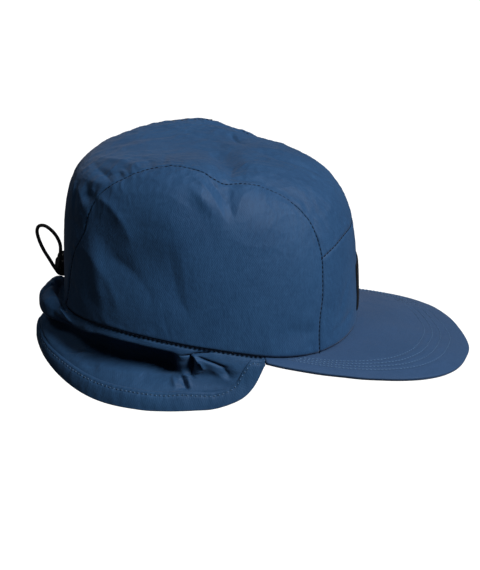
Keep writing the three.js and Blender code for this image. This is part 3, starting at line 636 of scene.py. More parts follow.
@dataclass(frozen=True)
class CrownForm:
    """Surface of the crown over a round chart: length 1 is the hem and 0 the top."""

    half_length: float = 100.0
    half_width: float = 81.0
    squareness: float = 2.25
    apex_height: float = 119.5
    normal_step: float = 0.006
    hem_fade: float = 0.07
    # angle, hem height, wall reach, wall height, top reach, top height
    profiles: tuple = (
        (-45, -3.5, 1.006, 115.7, 0.737, 117.0),
        (0, 0.0, 1.008, 95.5, 0.908, 115.4),
        (45, -3.5, 1.006, 115.7, 0.737, 117.0),
        (90, 7.0, 1.046, 153.5, 0.693, 119.5),
        (135, 16.0, 0.98, 143.1, 0.796, 122.2),
        (180, 14.0, 0.984, 112.3, 1.054, 125.0),
        (225, 16.0, 0.98, 143.1, 0.796, 122.2),
    )
    # forward, sideways, heading in degrees, half length, half width, depth
    folds: tuple = (
        (0.02, 0.14, 100, 0.2, 0.075, -1.2), (0.08, -0.2, 108, 0.16, 0.06, -5.0),
        (0.09, -0.5, 82, 0.15, 0.07, -4.5), (0.09, 0.5, 98, 0.13, 0.07, -1.8),
        (-0.03, -0.62, 140, 0.1, 0.04, 2.5), (-0.6, -0.5, 103, 0.18, 0.07, -1.4),
        (-0.34, -0.79, 150, 0.22, 0.07, -2.5), (-0.72, -0.58, 75, 0.13, 0.045, 1.2),
        (-0.22, -0.66, 25, 0.16, 0.14, 2.5), (0.61, -0.75, 45, 0.14, 0.022, -1.4),
        (0.26, -0.33, 5, 0.22, 0.05, -2.0), (0.26, 0.33, 175, 0.26, 0.06, -3.5),
        (-0.56, -0.29, 120, 0.08, 0.03, -1.2), (-0.47, -0.28, 110, 0.08, 0.026, 1.0),
        (-0.4, -0.25, 100, 0.09, 0.026, -1.1), (-0.3, -0.2, 95, 0.09, 0.024, 0.9),
        (-0.3, 0.55, 60, 0.25, 0.08, -3.0), (-0.6, 0.5, 120, 0.2, 0.07, -2.5),
        (0.2, 0.8, 95, 0.2, 0.05, -1.8),
    )

    def hem_radius(self, angle: Array) -> Array:
        """Distance from the centre to the hem in a direction in radians."""
        c = np.abs(np.cos(angle) / self.half_length) ** self.squareness
        s = np.abs(np.sin(angle) / self.half_width) ** self.squareness
        return (c + s) ** (-1 / self.squareness)

    def profile(self, angle: Array) -> Array:
        """Profile columns at a direction in radians."""
        turned = np.abs((np.degrees(angle) + 180) % 360 - 180)
        return RowCurve(self.profiles).at(turned)

    def hem_outward(self, angle: Array) -> Array:
        """Unit outward direction of the hem curve in plan."""
        r = self.hem_radius(angle)
        x, y = r * np.cos(angle), r * np.sin(angle)
        power = self.squareness - 1
        nx = np.sign(x) * np.abs(x / self.half_length) ** power / self.half_length
        ny = np.sign(y) * np.abs(y / self.half_width) ** power / self.half_width
        out = np.stack([nx, ny, np.zeros_like(nx)], axis=-1)
        return out / np.linalg.norm(out, axis=-1, keepdims=True)

    def hem_point(self, angle: Array) -> Array:
        """Hem points in a direction in radians."""
        r = self.hem_radius(angle)
        return np.stack([r * np.cos(angle), r * np.sin(angle), self.profile(angle)[..., 0]], axis=-1)

    def smooth(self, chart: Array) -> Array:
        """Undented surface points of chart points."""
        reach = np.hypot(chart[..., 0], chart[..., 1])
        angle = np.arctan2(chart[..., 1], chart[..., 0])
        radius = self.hem_radius(angle)
        hem, wall_reach, wall_height, top_reach, top_height = np.moveaxis(self.profile(angle), -1, 0)
        t = 1 - reach
        b0, b1, b2, b3 = reach**3, 3 * t * reach**2, 3 * t * t * reach, t**3
        r = radius * (b0 + wall_reach * b1 + top_reach * b2)
        z = hem * b0 + wall_height * b1 + top_height * b2 + self.apex_height * b3
        return np.stack([r * np.cos(angle), r * np.sin(angle), z], axis=-1)

    def smooth_normal(self, chart: Array) -> Array:
        """Outward unit normals of the undented surface."""
        dx, dy = np.array([self.normal_step, 0]), np.array([0, self.normal_step])
        along = self.smooth(chart + dx) - self.smooth(chart - dx)
        across = self.smooth(chart + dy) - self.smooth(chart - dy)
        normal = np.cross(along, across)
        return normal / np.linalg.norm(normal, axis=-1, keepdims=True)

    def fold_height(self, chart: Array) -> Array:
        """Height of the folds at chart points, fading at the hem."""
        height = np.zeros(chart.shape[:-1])
        for cx, cy, heading, half_length, half_width, depth in self.folds:
            dx, dy = chart[..., 0] - cx, chart[..., 1] - cy
            c, s = math.cos(math.radians(heading)), math.sin(math.radians(heading))
            along = (dx * c + dy * s) / half_length
            across = (dy * c - dx * s) / half_width
            height += depth * np.exp(-along * along - across * across)
        past = np.hypot(chart[..., 0], chart[..., 1]) - (1 - self.hem_fade)
        return height * (1 - np.clip(past / self.hem_fade, 0, 1))


@dataclass(frozen=True)
class CrownWrinkles:
    """Small wrinkles that the solid leaves out, in millimetres."""

    seed: int = 11
    broad_size: float = 34.0
    fine_size: float = 8.0
    ridge_sizes: tuple = (26.0, 15.0, 30.0)
    crinkle_sizes: tuple = (9.0, 6.0, 11.0)
    bend: float = 9.0
    broad_height: float = 0.6
    fine_height: float = 0.08
    ridge_height: float = 0.5
    crinkle_height: float = 0.32
    ridge_sharpness: float = 2.0
    crinkle_sharpness: float = 2.4
    # chart lengths between which the top's fuller wrinkles end, and the hem's flat strip starts
    top_edge: tuple = (0.4, 0.85)
    hem_edge: tuple = (0.93, 1.0)
    # start forward and sideways, end forward and sideways, half width on the chart, depth
    creases: tuple = (
        (-0.53, -0.35, -0.47, -0.62, 0.026, 1.3), (-0.64, -0.45, -0.585, -0.63, 0.045, -0.7),
        (-0.585, -0.63, -0.5, -0.73, 0.04, -0.7), (-0.73, -0.39, -0.63, -0.72, 0.026, 0.9),
        (-0.64, -0.56, -0.41, -0.83, 0.024, -0.9), (-0.81, -0.51, -0.71, -0.68, 0.02, -0.7),
        (-0.262, -0.77, -0.235, -0.88, 0.026, -0.45), (-0.235, -0.88, -0.14, -0.945, 0.018, -0.5),
        (-0.185, -0.8, -0.165, -0.9, 0.03, 0.5), (-0.42, -0.62, -0.2, -0.74, 0.02, -0.35),
        (-0.3, -0.5, -0.12, -0.66, 0.022, 0.3), (-0.07, -0.5, 0.085, -0.68, 0.024, 1.7),
        (-0.02, -0.46, 0.13, -0.64, 0.022, -1.1), (0.11, -0.48, 0.127, -0.64, 0.034, -1.1),
        (0.03, -0.18, 0.055, -0.43, 0.028, -1.4), (0.1, -0.19, 0.11, -0.36, 0.022, -1.5),
        (0.07, -0.28, 0.085, -0.42, 0.016, 0.9), (0.03, 0.12, 0.14, -0.16, 0.035, 1.4),
        (0.14, -0.16, 0.29, -0.15, 0.035, 1.5), (0.0, -0.01, 0.06, -0.11, 0.04, -1.6),
        (-0.35, -0.06, -0.29, -0.18, 0.028, 1.2), (-0.39, -0.1, -0.44, -0.3, 0.028, -1.0),
        (-0.415, -0.22, -0.435, -0.34, 0.012, -0.8), (-0.385, -0.22, -0.405, -0.34, 0.011, 0.5),
        (-0.36, -0.24, -0.38, -0.34, 0.012, -0.8), (-0.33, -0.23, -0.35, -0.34, 0.011, -0.6),
        (-0.22, -0.16, -0.24, -0.31, 0.016, -0.9), (-0.13, -0.05, -0.2, -0.32, 0.016, -0.8),
        (-0.28, -0.22, -0.3, -0.33, 0.013, 0.6), (-0.51, -0.2, -0.58, -0.33, 0.03, -1.2),
        (0.09, 0.19, 0.112, 0.06, 0.014, -2.4), (0.145, -0.007, 0.21, -0.042, 0.013, -2.4),
        (0.21, -0.042, 0.298, -0.047, 0.013, -2.2), (0.298, -0.047, 0.387, -0.05, 0.012, -1.4),
        (0.15, 0.03, 0.33, 0.0, 0.022, 1.0), (-0.56, -0.19, -0.62, -0.33, 0.025, 1.2),
        (-0.65, -0.2, -0.49, -0.09, 0.018, 0.9), (-0.69, -0.25, -0.53, -0.14, 0.018, -0.8),
        (-0.72, -0.16, -0.68, -0.37, 0.03, -1.2), (-0.23, 0.0, -0.11, 0.04, 0.022, 0.9),
        (-0.27, 0.03, -0.13, 0.09, 0.026, -0.9), (-0.08, 0.15, 0.02, 0.1, 0.022, -0.9),
        (0.45, -0.22, 0.58, -0.22, 0.014, 0.5), (0.34, -0.19, 0.47, -0.23, 0.016, 0.5),
        (0.46, -0.31, 0.56, -0.33, 0.014, -0.5), (0.3, -0.08, 0.44, -0.14, 0.018, -0.6),
        (0.91, -0.28, 0.87, -0.43, 0.014, -1.3), (0.9, -0.33, 0.83, -0.5, 0.022, -1.0),
        (0.87, -0.38, 0.8, -0.53, 0.018, 0.8), (0.8, -0.3, 0.84, -0.52, 0.02, -0.7),
        (0.48, -0.835, 0.7, -0.655, 0.02, -1.0), (-0.88, -0.32, -0.84, -0.44, 0.02, -0.9),
        (-0.86, -0.35, -0.83, -0.5, 0.016, 0.8), (-0.34, -0.9, -0.31, -0.945, 0.012, -0.9),
        (-0.05, 0.3, 0.1, 0.42, 0.035, -1.2), (-0.4, 0.2, -0.3, 0.33, 0.03, -1.2),
        (-0.62, 0.1, -0.5, 0.3, 0.03, -1.3), (-0.45, 0.55, -0.3, 0.75, 0.035, -1.3),
        (0.1, 0.58, 0.25, 0.8, 0.03, 1.1), (0.55, 0.7, 0.4, 0.85, 0.022, -0.9),
    )

    def height(self, chart: Array, points: Array) -> Array:
        """Wrinkle height at chart points.

        Args:
            chart: chart points.
            points: surface points in millimetres.

        Returns:
            Height along the outward normal.
        """
        broad = ClothNoise(self.seed).at(points / self.broad_size)
        bent = points + self.bend * broad[..., None]
        ridge = ClothNoise(self.seed + 1).at(bent / np.array(self.ridge_sizes))
        ridge = 1 - np.abs(ridge) * self.ridge_sharpness
        fine = ClothNoise(self.seed + 2).at(points / self.fine_size)
        crinkle = ClothNoise(self.seed + 3).at(bent / np.array(self.crinkle_sizes))
        crinkle = 1 - np.abs(crinkle) * self.crinkle_sharpness
        reach = np.hypot(chart[..., 0], chart[..., 1])
        top = 1 - soft_step(reach, *self.top_edge)
        height = self.broad_height * broad * (0.5 + 0.8 * top)
        height = height + self.ridge_height * np.clip(ridge, 0, 1) ** 3 * (0.12 + top)
        height = height + self.crinkle_height * np.clip(crinkle, 0, 1) ** 2 * (0.2 + top)
        height = height + self.fine_height * fine + crease_heights(chart, self.creases)
        return height * (1 - soft_step(reach, *self.hem_edge))


@dataclass
class CrownPanels:
    """The four crown panels, sewn on the arch and front seams."""

    form: CrownForm
    wrinkles: CrownWrinkles
    # grid steps along a side panel's hem, up each of its ends, and across the front and top panels
    across: int = 198
    up: int = 108
    columns: int = 72
    wall: float = 1.2
    seam_dip: float = 0.35
    seam_dip_width: float = 0.7
    seam_swell: float = 0.22
    swell_place: float = 3.0
    swell_width: float = 1.8
    hem_dip: float = 0.5
    hem_dip_width: float = 0.8
    gather_size: float = 6.5
    pleat_sizes: tuple = (4.2, 14.0, 14.0)
    pucker_reach: float = 8.0
    hem_gather: float = 0.5
    hem_gather_reach: float = 6.0
    flat_edge: float = 0.2
    full_pucker: float = 2.0
    # forward, sideways
    arch_seam: tuple = (
        (0.772, 0.636), (0.743, 0.62), (0.714, 0.585), (0.694, 0.54), (0.652, 0.491), (0.614, 0.454),
        (0.559, 0.421), (0.49, 0.39), (0.427, 0.376), (0.369, 0.362), (0.296, 0.356), (0.21, 0.379),
        (0.148, 0.415), (0.08, 0.462), (0.03, 0.472), (-0.019, 0.44), (-0.091, 0.393), (-0.174, 0.348),
        (-0.237, 0.339), (-0.328, 0.346), (-0.427, 0.352), (-0.517, 0.349), (-0.58, 0.355), (-0.638, 0.364),
        (-0.684, 0.376), (-0.737, 0.356), (-0.79, 0.324), (-0.848, 0.302), (-0.907, 0.288), (-0.956, 0.246),
        (-0.981, 0.194),
    )
    front_seam: tuple = ((0.615, 0.455), (0.643, 0.348), (0.662, 0.232), (0.68, 0.11), (0.686, 0.0))

    def __post_init__(self) -> None:
        """Lays out the seams on the chart."""
        self.arch_left = smooth_line(np.array(self.arch_seam), 2 * self.up + self.across)
        self.arch_right = self.arch_left * MIRROR
        gap = np.linalg.norm(self.arch_left - np.array(self.front_seam[0]), axis=1)
        self.front_corner = int(np.argmin(gap))

    def hem_arc(self, start: Array, end: Array, steps: int, through_rear: bool) -> Array:
        """Chart points on the hem between two of its points.

        Args:
            start: first chart point.
            end: last chart point.
            steps: number of steps.
            through_rear: whether the arc passes the rear centre.

        Returns:
            steps + 1 chart points.
        """
        a, b = math.atan2(start[1], start[0]), math.atan2(end[1], end[0])
        if through_rear and a < 0 < b:
            b -= 2 * math.pi
        angle = np.linspace(a, b, steps + 1)
        arc = np.stack([np.cos(angle), np.sin(angle)], axis=1)
        arc[0], arc[-1] = start, end
        return arc

    def front_line(self) -> Array:
        """Chart points of the front seam from right to left."""
        half = np.array(self.front_seam) * MIRROR
        half[0] = self.arch_right[self.front_corner]
        return smooth_line(np.vstack([half, half[-2::-1] * MIRROR]), self.columns)

    def side_chart(self, side: Side) -> Array:
        """Chart grid of one side panel, hem row first."""
        arch = self.arch_left if side is Side.LEFT else self.arch_right
        bottom = self.hem_arc(arch[0], arch[-1], self.across, False)
        top = arch[self.up : self.up + self.across + 1]
        return fill_between(bottom, top, arch[: self.up + 1], arch[: self.up + self.across - 1 : -1])

    def front_chart(self) -> Array:
        """Chart grid of the front panel, hem row first."""
        right, left = (arch[: self.front_corner + 1] for arch in (self.arch_right, self.arch_left))
        bottom = self.hem_arc(right[0], left[0], self.columns, False)
        return fill_between(bottom, self.front_line(), right, left)

    def top_chart(self) -> Array:
        """Chart grid of the top panel, front seam first."""
        right, left = (arch[self.front_corner :] for arch in (self.arch_right, self.arch_left))
        rear = self.hem_arc(right[-1], left[-1], self.columns, True)
        return fill_between(self.front_line(), rear, right, left)

    def surface(self, chart: Array) -> tuple[Array, Array]:
        """Folded and wrinkled points and the smooth normals of chart points."""
        points, normal = self.form.smooth(chart), self.form.smooth_normal(chart)
        height = self.form.fold_height(chart) + self.wrinkles.height(chart, points)
        return points + normal * height[..., None], normal

    def looseness(self, gap: Array, reach: float) -> Array:
        """Share of the gathers at a gap from an edge: none on it, most beside it."""
        return np.exp(-gap / reach) * soft_step(gap, self.flat_edge, self.full_pucker)

    def panel(self, name: str, chart: Array, hem: str, pucker: float) -> SceneObject:
        """One sewn panel.

        Args:
            name: piece name.
            chart: its chart grid.
            hem: its hem edge, start or end; the others are seams.
            pucker: height of the gathers along its seams.

        Returns:
            The panel's object.
        """
        points, normal = self.surface(chart)
        edges = edge_gaps(points)
        turned = edges.pop(hem)
        seam = np.minimum.reduce(list(edges.values()))
        gather = ClothNoise(5).at(points / self.gather_size)
        pleat = ClothNoise(6).at(points / np.array(self.pleat_sizes))
        shape = self.seam_swell * bell(seam - self.swell_place, self.swell_width)
        shape = shape - self.seam_dip * bell(seam, self.seam_dip_width)
        shape = shape + pucker * (gather + pleat) * self.looseness(seam, self.pucker_reach)
        shape = shape - self.hem_dip * bell(turned, self.hem_dip_width)
        shape = shape + self.hem_gather * gather * self.looseness(turned, self.hem_gather_reach)
        outer = points + normal * shape[..., None]
        wall = grid_normals(outer)
        facing = np.sign((wall * normal).sum(axis=-1).mean())
        turn = Orientation.AS_WOUND if facing < 0 else Orientation.REVERSED
        return cloth_shell(name, outer, outer - wall * facing * self.wall, turn)

    def build(self, finishes: Finishes) -> None:
        """Builds and dresses the four panels."""
        for name, chart, hem, pucker, node in (
            ("sewn_side_right", self.side_chart(Side.RIGHT), "start", 0.45, "side_panel_right"),
            ("sewn_side_left", self.side_chart(Side.LEFT), "start", 0.45, "side_panel_left"),
            ("sewn_front", self.front_chart(), "start", 0.3, "front_panel"),
            ("sewn_top", self.top_chart(), "end", 0.8, "top_panel"),
        ):
            dress(self.panel(name, chart, hem, pucker), finishes.crown, CAP_BODY, "crown_cloth", node)

    def seam_line(self, chart_line: Array, lift: float) -> Array:
        """Points of a seam a little above the cloth, in millimetres."""
        points, normal = self.surface(chart_line)
        return points + normal * lift


def dress(obj: SceneObject, material: bpy.types.Material, body: str, slot: str, *nodes: str) -> None:
    """Gives a piece its material, its body and the CAD nodes it stands for.

    Args:
        obj: the piece.
        material: its only material.
        body: CAD body it rides on.
        slot: not used.
        *nodes: CAD nodes it replaces.
    """
    obj.data.materials.clear()
    obj.data.materials.append(material)
    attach(obj, body)
    if nodes:
        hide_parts(*nodes)
    log.info("%s: %d faces", obj.name, len(obj.data.polygons))


@dataclass(frozen=True)
class PeakForm:
    """The curved peak, with stitched rows and a bound rim."""

    crown: CrownForm
    root_angle: float = 64.5
    root_inset: float = 2.0
    root_drop: float = 0.7
    camber: float = 3.5
    thickness: float = 2.8
    rim_radius: float = 0.9
    columns: int = 180
    rows: int = 72
    rim_rows: int = 6
    fine_rim_rows: int = 24
    groove_depth: float = 0.3
    groove_width: float = 0.8
    quilt_height: float = 0.25
    quilt_size: float = 16.0
    grain_height: float = 0.06
    grain_size: float = 5.0
    under_share: float = 0.3
    stitch_points: int = 241
    stitch_lift: float = 0.02
    shortest_room: float = 3.0
    # rise and inset of the two points behind the hem
    upper_tab: tuple = ((4.5, 1.6), (1.2, 1.2))
    under_tab: tuple = ((4.5, 2.6), (0.2, 2.4))
    # stitched rows: distance from the rim at the sides and at the tip
    stitch_rows: tuple = ((13.5, 15.0), (18.0, 22.0), (22.5, 28.0), (27.0, 34.0))
    # forward, sideways, height, right half
    edge: tuple = (
        (37.2, -79.6, -2.6), (47, -80.9, -4.6), (60, -81.1, -7.2), (75, -80.6, -10.1), (90, -79.8, -12.3),
        (104, -78.9, -14.2), (118, -77.6, -15.3), (130, -75.2, -16.2), (141, -71.3, -17.1),
        (151, -65.1, -18.1), (159, -57.6, -19), (166, -47.8, -20), (171, -36.6, -21), (175, -23.0, -22.2),
        (177.8, -10.2, -23.3), (178.6, 0, -23.8),
    )

    def rim(self, places: Array) -> Array:
        """Rim points at places from 0 at the right root corner to 1 at the left one."""
        half = np.array(self.edge, float)
        whole = np.vstack([half, half[-2::-1] * np.array([1, -1, 1])])
        numbered = np.column_stack([np.linspace(0, 1, len(whole)), whole])
        return RowCurve(tuple(map(tuple, numbered))).at(places)

    def root_frame(self, places: Array) -> tuple[Array, Array]:
        """Hem points and outward directions of the crown along the root."""
        angle = np.radians(self.root_angle * (2 * places - 1))
        return self.crown.hem_point(angle), self.crown.hem_outward(angle)

    def surface(self, places: Array, reach: Array) -> Array:
        """Upper surface points.

        Args:
            places: 0 to 1 round the peak.
            reach: 0 at the crown and 1 at the rim.

        Returns:
            Points in millimetres.
        """
        hem, outward = self.root_frame(places)
        root = hem - outward * self.root_inset - UP * self.root_drop
        lift = self.camber * 4 * reach * (1 - reach) * np.sin(np.pi * places)
        return root + (self.rim(places) - root) * reach[..., None] + lift[..., None] * UP

    def stitch_offset(self, places: Array, side: float, tip: float) -> Array:
        """Distance from the rim of a stitched row at places round the peak."""
        return side + (tip - side) * np.sin(np.pi * places) ** 3

    def with_tab(self, grid: Array, root: Array, steps: tuple) -> Array:
        """The grid with the points behind the hem, where the root is sewn in, put first."""
        _, outward = self.root_frame(np.linspace(0, 1, len(root)))
        tab = [(root + UP * rise - outward * inset)[:, None] for rise, inset in steps]
        return np.concatenate([*tab, grid], axis=1)

    def build(self, finishes: Finishes) -> None:
        """Builds and dresses the peak."""
        shares = np.linspace(0, 1, self.rows + 1)
        fine = np.linspace(shares[-self.rim_rows], 1, self.fine_rim_rows)
        reach = np.concatenate([shares[: -self.rim_rows], fine])
        places, reaches = grid_over(np.linspace(0, 1, self.columns + 1), reach)
        top = self.surface(places, reaches)
        normal = grid_normals(top)
        normal *= np.sign(normal[..., 2].mean())
        rim_gap = edge_gaps(top)["right"]
        bend = np.clip(1 - rim_gap / self.rim_radius, 0, 1)
        round_off = self.rim_radius * (1 - np.sqrt(np.clip(1 - bend**2, 0, 1)))
        grooves = np.zeros_like(rim_gap)
        for side, tip in self.stitch_rows:
            grooves += bell(rim_gap - self.stitch_offset(places, side, tip), self.groove_width)
        quilt = self.quilt_height * ClothNoise(21).at(top / self.quilt_size)
        quilt = quilt + self.grain_height * ClothNoise(22).at(top / self.grain_size)
        upper = top + normal * (quilt - self.groove_depth * grooves - round_off)[..., None]
        under = top - normal * (self.thickness - round_off - self.under_share * quilt)[..., None]
        root = upper[:, 0]
        upper = self.with_tab(upper, root, self.upper_tab)
        under = self.with_tab(under, root, self.under_tab)
        obj = cloth_shell("sewn_peak", upper, under, Orientation.AS_WOUND)
        dress(obj, finishes.peak, CAP_BODY, "peak_cloth", "peak")

    def stitch_lines(self) -> list[Array]:
        """Middle lines of the stitched rows, a little above the cloth."""
        lines = []
        places, shares = np.linspace(0, 1, self.stitch_points), np.linspace(1, 0, 200)
        run = run_lengths(self.surface(*grid_over(places, shares)), 1)
        for side, tip in self.stitch_rows:
            gaps = self.stitch_offset(places, side, tip)
            reach = np.array([np.interp(gap, row, shares) for gap, row in zip(gaps, run)])
            kept = run[:, -1] - gaps > self.shortest_room
            lines.append(self.surface(places, reach)[kept] + UP * self.stitch_lift)
        return lines


@dataclass(frozen=True)
class FrontPatch:
    """Plain black woven patch on the front panel."""

    panels: CrownPanels
    half_angle: float = 9.5
    rise_low: float = 0.032
    rise_high: float = 0.165
    gap: float = 0.25
    lift: float = 0.35
    thickness: float = 0.8
    thin_edge: float = 0.6
    edge_width: float = 0.7
    groove_inset: float = 2.6
    groove_depth: float = 0.3
    groove_width: float = 0.5
    columns: int = 44
    rows: int = 52

    def chart(self, across: Array, up: Array) -> Array:
        """Chart points of the patch for shares across from -1 to 1 and up from 0 to 1."""
        angle = np.radians(self.half_angle * across)
        reach = 1 - (self.rise_low + (self.rise_high - self.rise_low) * up)
        return np.stack([reach * np.cos(angle), reach * np.sin(angle)], axis=-1)

    def build(self, finishes: Finishes) -> None:
        """Builds and dresses the patch."""
        up, across = grid_over(np.linspace(0, 1, self.rows), np.linspace(-1, 1, self.columns))
        points, normal = self.panels.surface(self.chart(across, up))
        edge = np.minimum.reduce(list(edge_gaps(points).values()))
        lift = self.lift + self.thickness * (1 - self.thin_edge * bell(edge, self.edge_width))
        lift = lift - self.groove_depth * bell(edge - self.groove_inset, self.groove_width)
        outer, inner = points + normal * lift[..., None], points + normal * self.gap
        obj = cloth_shell("woven_patch", outer, inner, Orientation.AS_WOUND)
        dress(obj, finishes.patch, CAP_BODY, "patch", "front_patch")


@dataclass(frozen=True)
class FlapForm:
    """Neck and ear flap: a cross-section table swept round the hem."""

    crown: CrownForm
    wall: float = 1.2
    rows: int = 104
    columns: int = 440
    start_angle: float = 64.9
    soft_sizes: tuple = (13.0, 13.0, 17.0)
    fine_size: float = 6.0
    soft_height: float = 0.6
    fine_height: float = 0.2
    mm_per_degree: float = 1.4
    mm_per_share: float = 72.0
    # shares between which the loose cloth starts and ends
    loose_start: tuple = (0.08, 0.17)
    loose_end: tuple = (0.86, 0.9)
    # angle, then outward and upward of tuck, hem, strip, lip, underside, inner fold, hollow, lit fold,
    # band top and edge: the wearer's left, which the right side mirrors
    side_sections: tuple = (
        (65, -2.4, 3, -2.2, -0.3, -1.8, -0.9, -1.4, -1.5, -1, -2.1, -0.6, -2.6, -0.3, -3.2, 0, -3.7, 0.3,
         -4.3, 0.5, -5),
        (69, -2.4, 5, -2, -0.9, -1.4, -2.4, -0.9, -4, -0.5, -5.8, -0.3, -7.8, 0, -10, 0.3, -12.2, 0.7,
         -14.6, 1.5, -18),
        (73.5, -2.4, 5, -1.9, -1, -1.2, -2.9, -0.6, -5, -0.2, -7.4, -0.1, -10, -0.1, -13, 0, -16.2, 0.6,
         -20, 2.6, -27),
        (79, -2.4, 5, -1.8, -1, -1, -3.1, -0.3, -5.8, 0.2, -8.8, 0.2, -12, -0.2, -15.4, 0, -19.2, 0.8, -24,
         3.4, -33),
        (88, -2.4, 5, -1.8, -1, -0.8, -3.4, 0, -6.8, 0.4, -10.4, -0.8, -14.8, -2.2, -19.2, -0.8, -23.8,
         1.5, -28.8, 4.2, -39.2),
        (97, -2.4, 5, -1.8, -1, -0.8, -3.4, -0.1, -6.8, -0.1, -10.4, -2.5, -15, -4.2, -20, -2, -25, 1.9,
         -30.6, 5.2, -42),
        (103, -2.4, 5, -1.8, -1, -0.8, -3.4, -0.5, -6.8, -1.6, -9.4, -5, -13, -8, -19, -5, -24.5, 2.2,
         -31.6, 6, -43.8),
        (109, -2.4, 5, -1.8, -1, -0.8, -3.4, -0.8, -6.4, -3.6, -8, -13, -10, -20, -22, -8.6, -26.6, 2.6,
         -34, 6.6, -45.6),
        (120, -2.4, 5, -1.8, -1, -0.8, -3.4, -0.8, -6.8, -4, -8.2, -14, -10.5, -22, -23, -9.5, -29, 3,
         -36.5, 7.6, -48.4),
        (138, -2.4, 5, -1.8, -1, -0.6, -3.4, -0.2, -7, -3.4, -8.6, -12, -11, -19, -23, -9, -29, 3.8, -37.6,
         8.5, -49.8),
    )
    # the same columns round the rear
    rear_sections: tuple = (
        (156, -2.4, 5, -1.8, -1.2, 0.4, -3.2, 1.6, -7, -1, -9.2, -9, -11.5, -14, -22, -4, -25.5, 6.8,
         -32.3, 10.7, -43.8),
        (168, -2.4, 5, -1.8, -1.4, 2.6, -0.8, 6.6, 3, 11.5, 0, 11.5, -7.5, 6, -13, 9, -18, 12.6, -24, 15.2,
         -35),
        (180, -2.4, 5, -1.8, -1.4, 3.6, 1.2, 8.4, 9.6, 16, 3.6, 16.4, -6.5, 12.6, -11.4, 15, -14, 17.8,
         -17.5, 19.6, -27.5),
        (191, -2.4, 5, -1.8, -1.4, 3.6, 1.2, 8, 8.2, 15, 2.8, 13.5, -7.5, 0, -14.5, 12, -21.5, 14.6, -24.5,
         16.4, -34),
        (204, -2.4, 5, -1.8, -1.2, 0.4, -3.2, 1.6, -7, -1, -9.2, -9, -11.5, -14, -22, -5, -26.5, 6.8,
         -32.3, 10.7, -43.8),
    )
    # creases: direction and share of the start and of the end, half width, depth
    crumples: tuple = (
        (256.6, 0.5, 256.6, 0.7, 3.4, 3.4), (261.3, 0.36, 260.6, 0.71, 2.0, -7.0),
        (257.0, 0.4, 263.3, 0.268, 1.1, -2.4), (263.3, 0.268, 269.8, 0.155, 1.2, -3.0),
        (262.8, 0.33, 266.9, 0.53, 1.5, 3.0), (265.2, 0.42, 265.4, 0.55, 1.2, -2.0),
        (266.9, 0.55, 263.0, 0.69, 1.4, 2.0), (265.5, 0.33, 271.5, 0.4, 1.2, -2.8),
        (271.5, 0.4, 276.1, 0.49, 1.8, -3.0), (276.1, 0.49, 279.0, 0.72, 2.8, -2.0),
        (272.0, 0.56, 277.6, 0.76, 3.4, 0.7), (256.6, 0.79, 259.2, 0.865, 1.5, -3.0),
        (254.6, 0.868, 259.6, 0.87, 1.0, -1.5), (252.6, 0.81, 254.6, 0.86, 1.4, 1.4),
        (259.9, 0.78, 260.9, 0.85, 1.2, 1.4), (240.6, 0.79, 255.9, 0.784, 1.2, 1.2),
        (255.9, 0.784, 263.0, 0.712, 1.2, 1.2), (201.4, 0.867, 208.8, 0.782, 1.4, 1.8),
        (202.0, 0.835, 204.8, 0.772, 1.4, -1.5), (205.5, 0.87, 217.1, 0.819, 1.5, 1.5),
        (207.6, 0.852, 216.7, 0.842, 1.2, -1.0), (218.3, 0.835, 236.7, 0.809, 1.8, 1.2),
        (187.3, 0.45, 183.0, 0.3, 1.3, -2.2), (191.7, 0.436, 193.7, 0.306, 1.6, 1.5),
        (195.0, 0.5, 196.7, 0.22, 1.3, -2.2), (195.5, 0.524, 198.6, 0.559, 1.3, -1.5),
        (197.1, 0.373, 201.9, 0.318, 1.6, 1.6), (99.5, 0.36, 99.0, 0.7, 2.2, -5.5),
        (96.0, 0.33, 90.0, 0.4, 1.3, -2.6), (90.0, 0.4, 84.0, 0.5, 1.9, -2.8),
        (84.0, 0.5, 81.0, 0.7, 2.8, -2.8), (103.0, 0.5, 103.5, 0.68, 3.0, 3.0),
        (97.0, 0.33, 93.5, 0.53, 1.5, 2.6), (150.0, 0.86, 143.0, 0.8, 1.5, 1.5),
        (141.0, 0.84, 121.0, 0.81, 1.8, 1.2), (176.0, 0.5, 178.0, 0.26, 1.6, -1.8),
        (166.0, 0.5, 161.0, 0.3, 1.5, -2.0), (170.5, 0.45, 167.0, 0.3, 1.6, 1.5),
    )

    def section_curve(self) -> RowCurve:
        """The section rows of the whole way round."""
        mirrored = tuple((360 - row[0], *row[1:]) for row in reversed(self.side_sections))
        return RowCurve((*self.side_sections, *self.rear_sections, *mirrored))

    def section_values(self, angles: Array, shares: Array) -> tuple[Array, Array]:
        """Outward and upward offsets.

        Args:
            angles: directions in degrees.
            shares: 0 at the tuck to 1 at the edge, the same shape.

        Returns:
            Two arrays of that shape.
        """
        values = self.section_curve().at(angles)
        pairs = values.reshape(*values.shape[:-1], -1, 2)
        count = pairs.shape[-2]
        place = np.clip(shares, 0, 1) * (count - 1)
        i = np.minimum(np.floor(place).astype(int), count - 2)
        f = (place - i)[..., None]

        def pick(k: Array) -> Array:
            """The pair numbered k of each section."""
            held = np.clip(k, 0, count - 1)
            return np.take_along_axis(pairs, held[..., None, None], axis=-2)[..., 0, :]

        p0, p1, p2, p3 = pick(i - 1), pick(i), pick(i + 1), pick(i + 2)
        square = (2 * p0 - 5 * p1 + 4 * p2 - p3) * f**2
        blend = 0.5 * (2 * p1 + (p2 - p0) * f + square + (3 * p1 - p0 - 3 * p2 + p3) * f**3)
        return blend[..., 0], blend[..., 1]

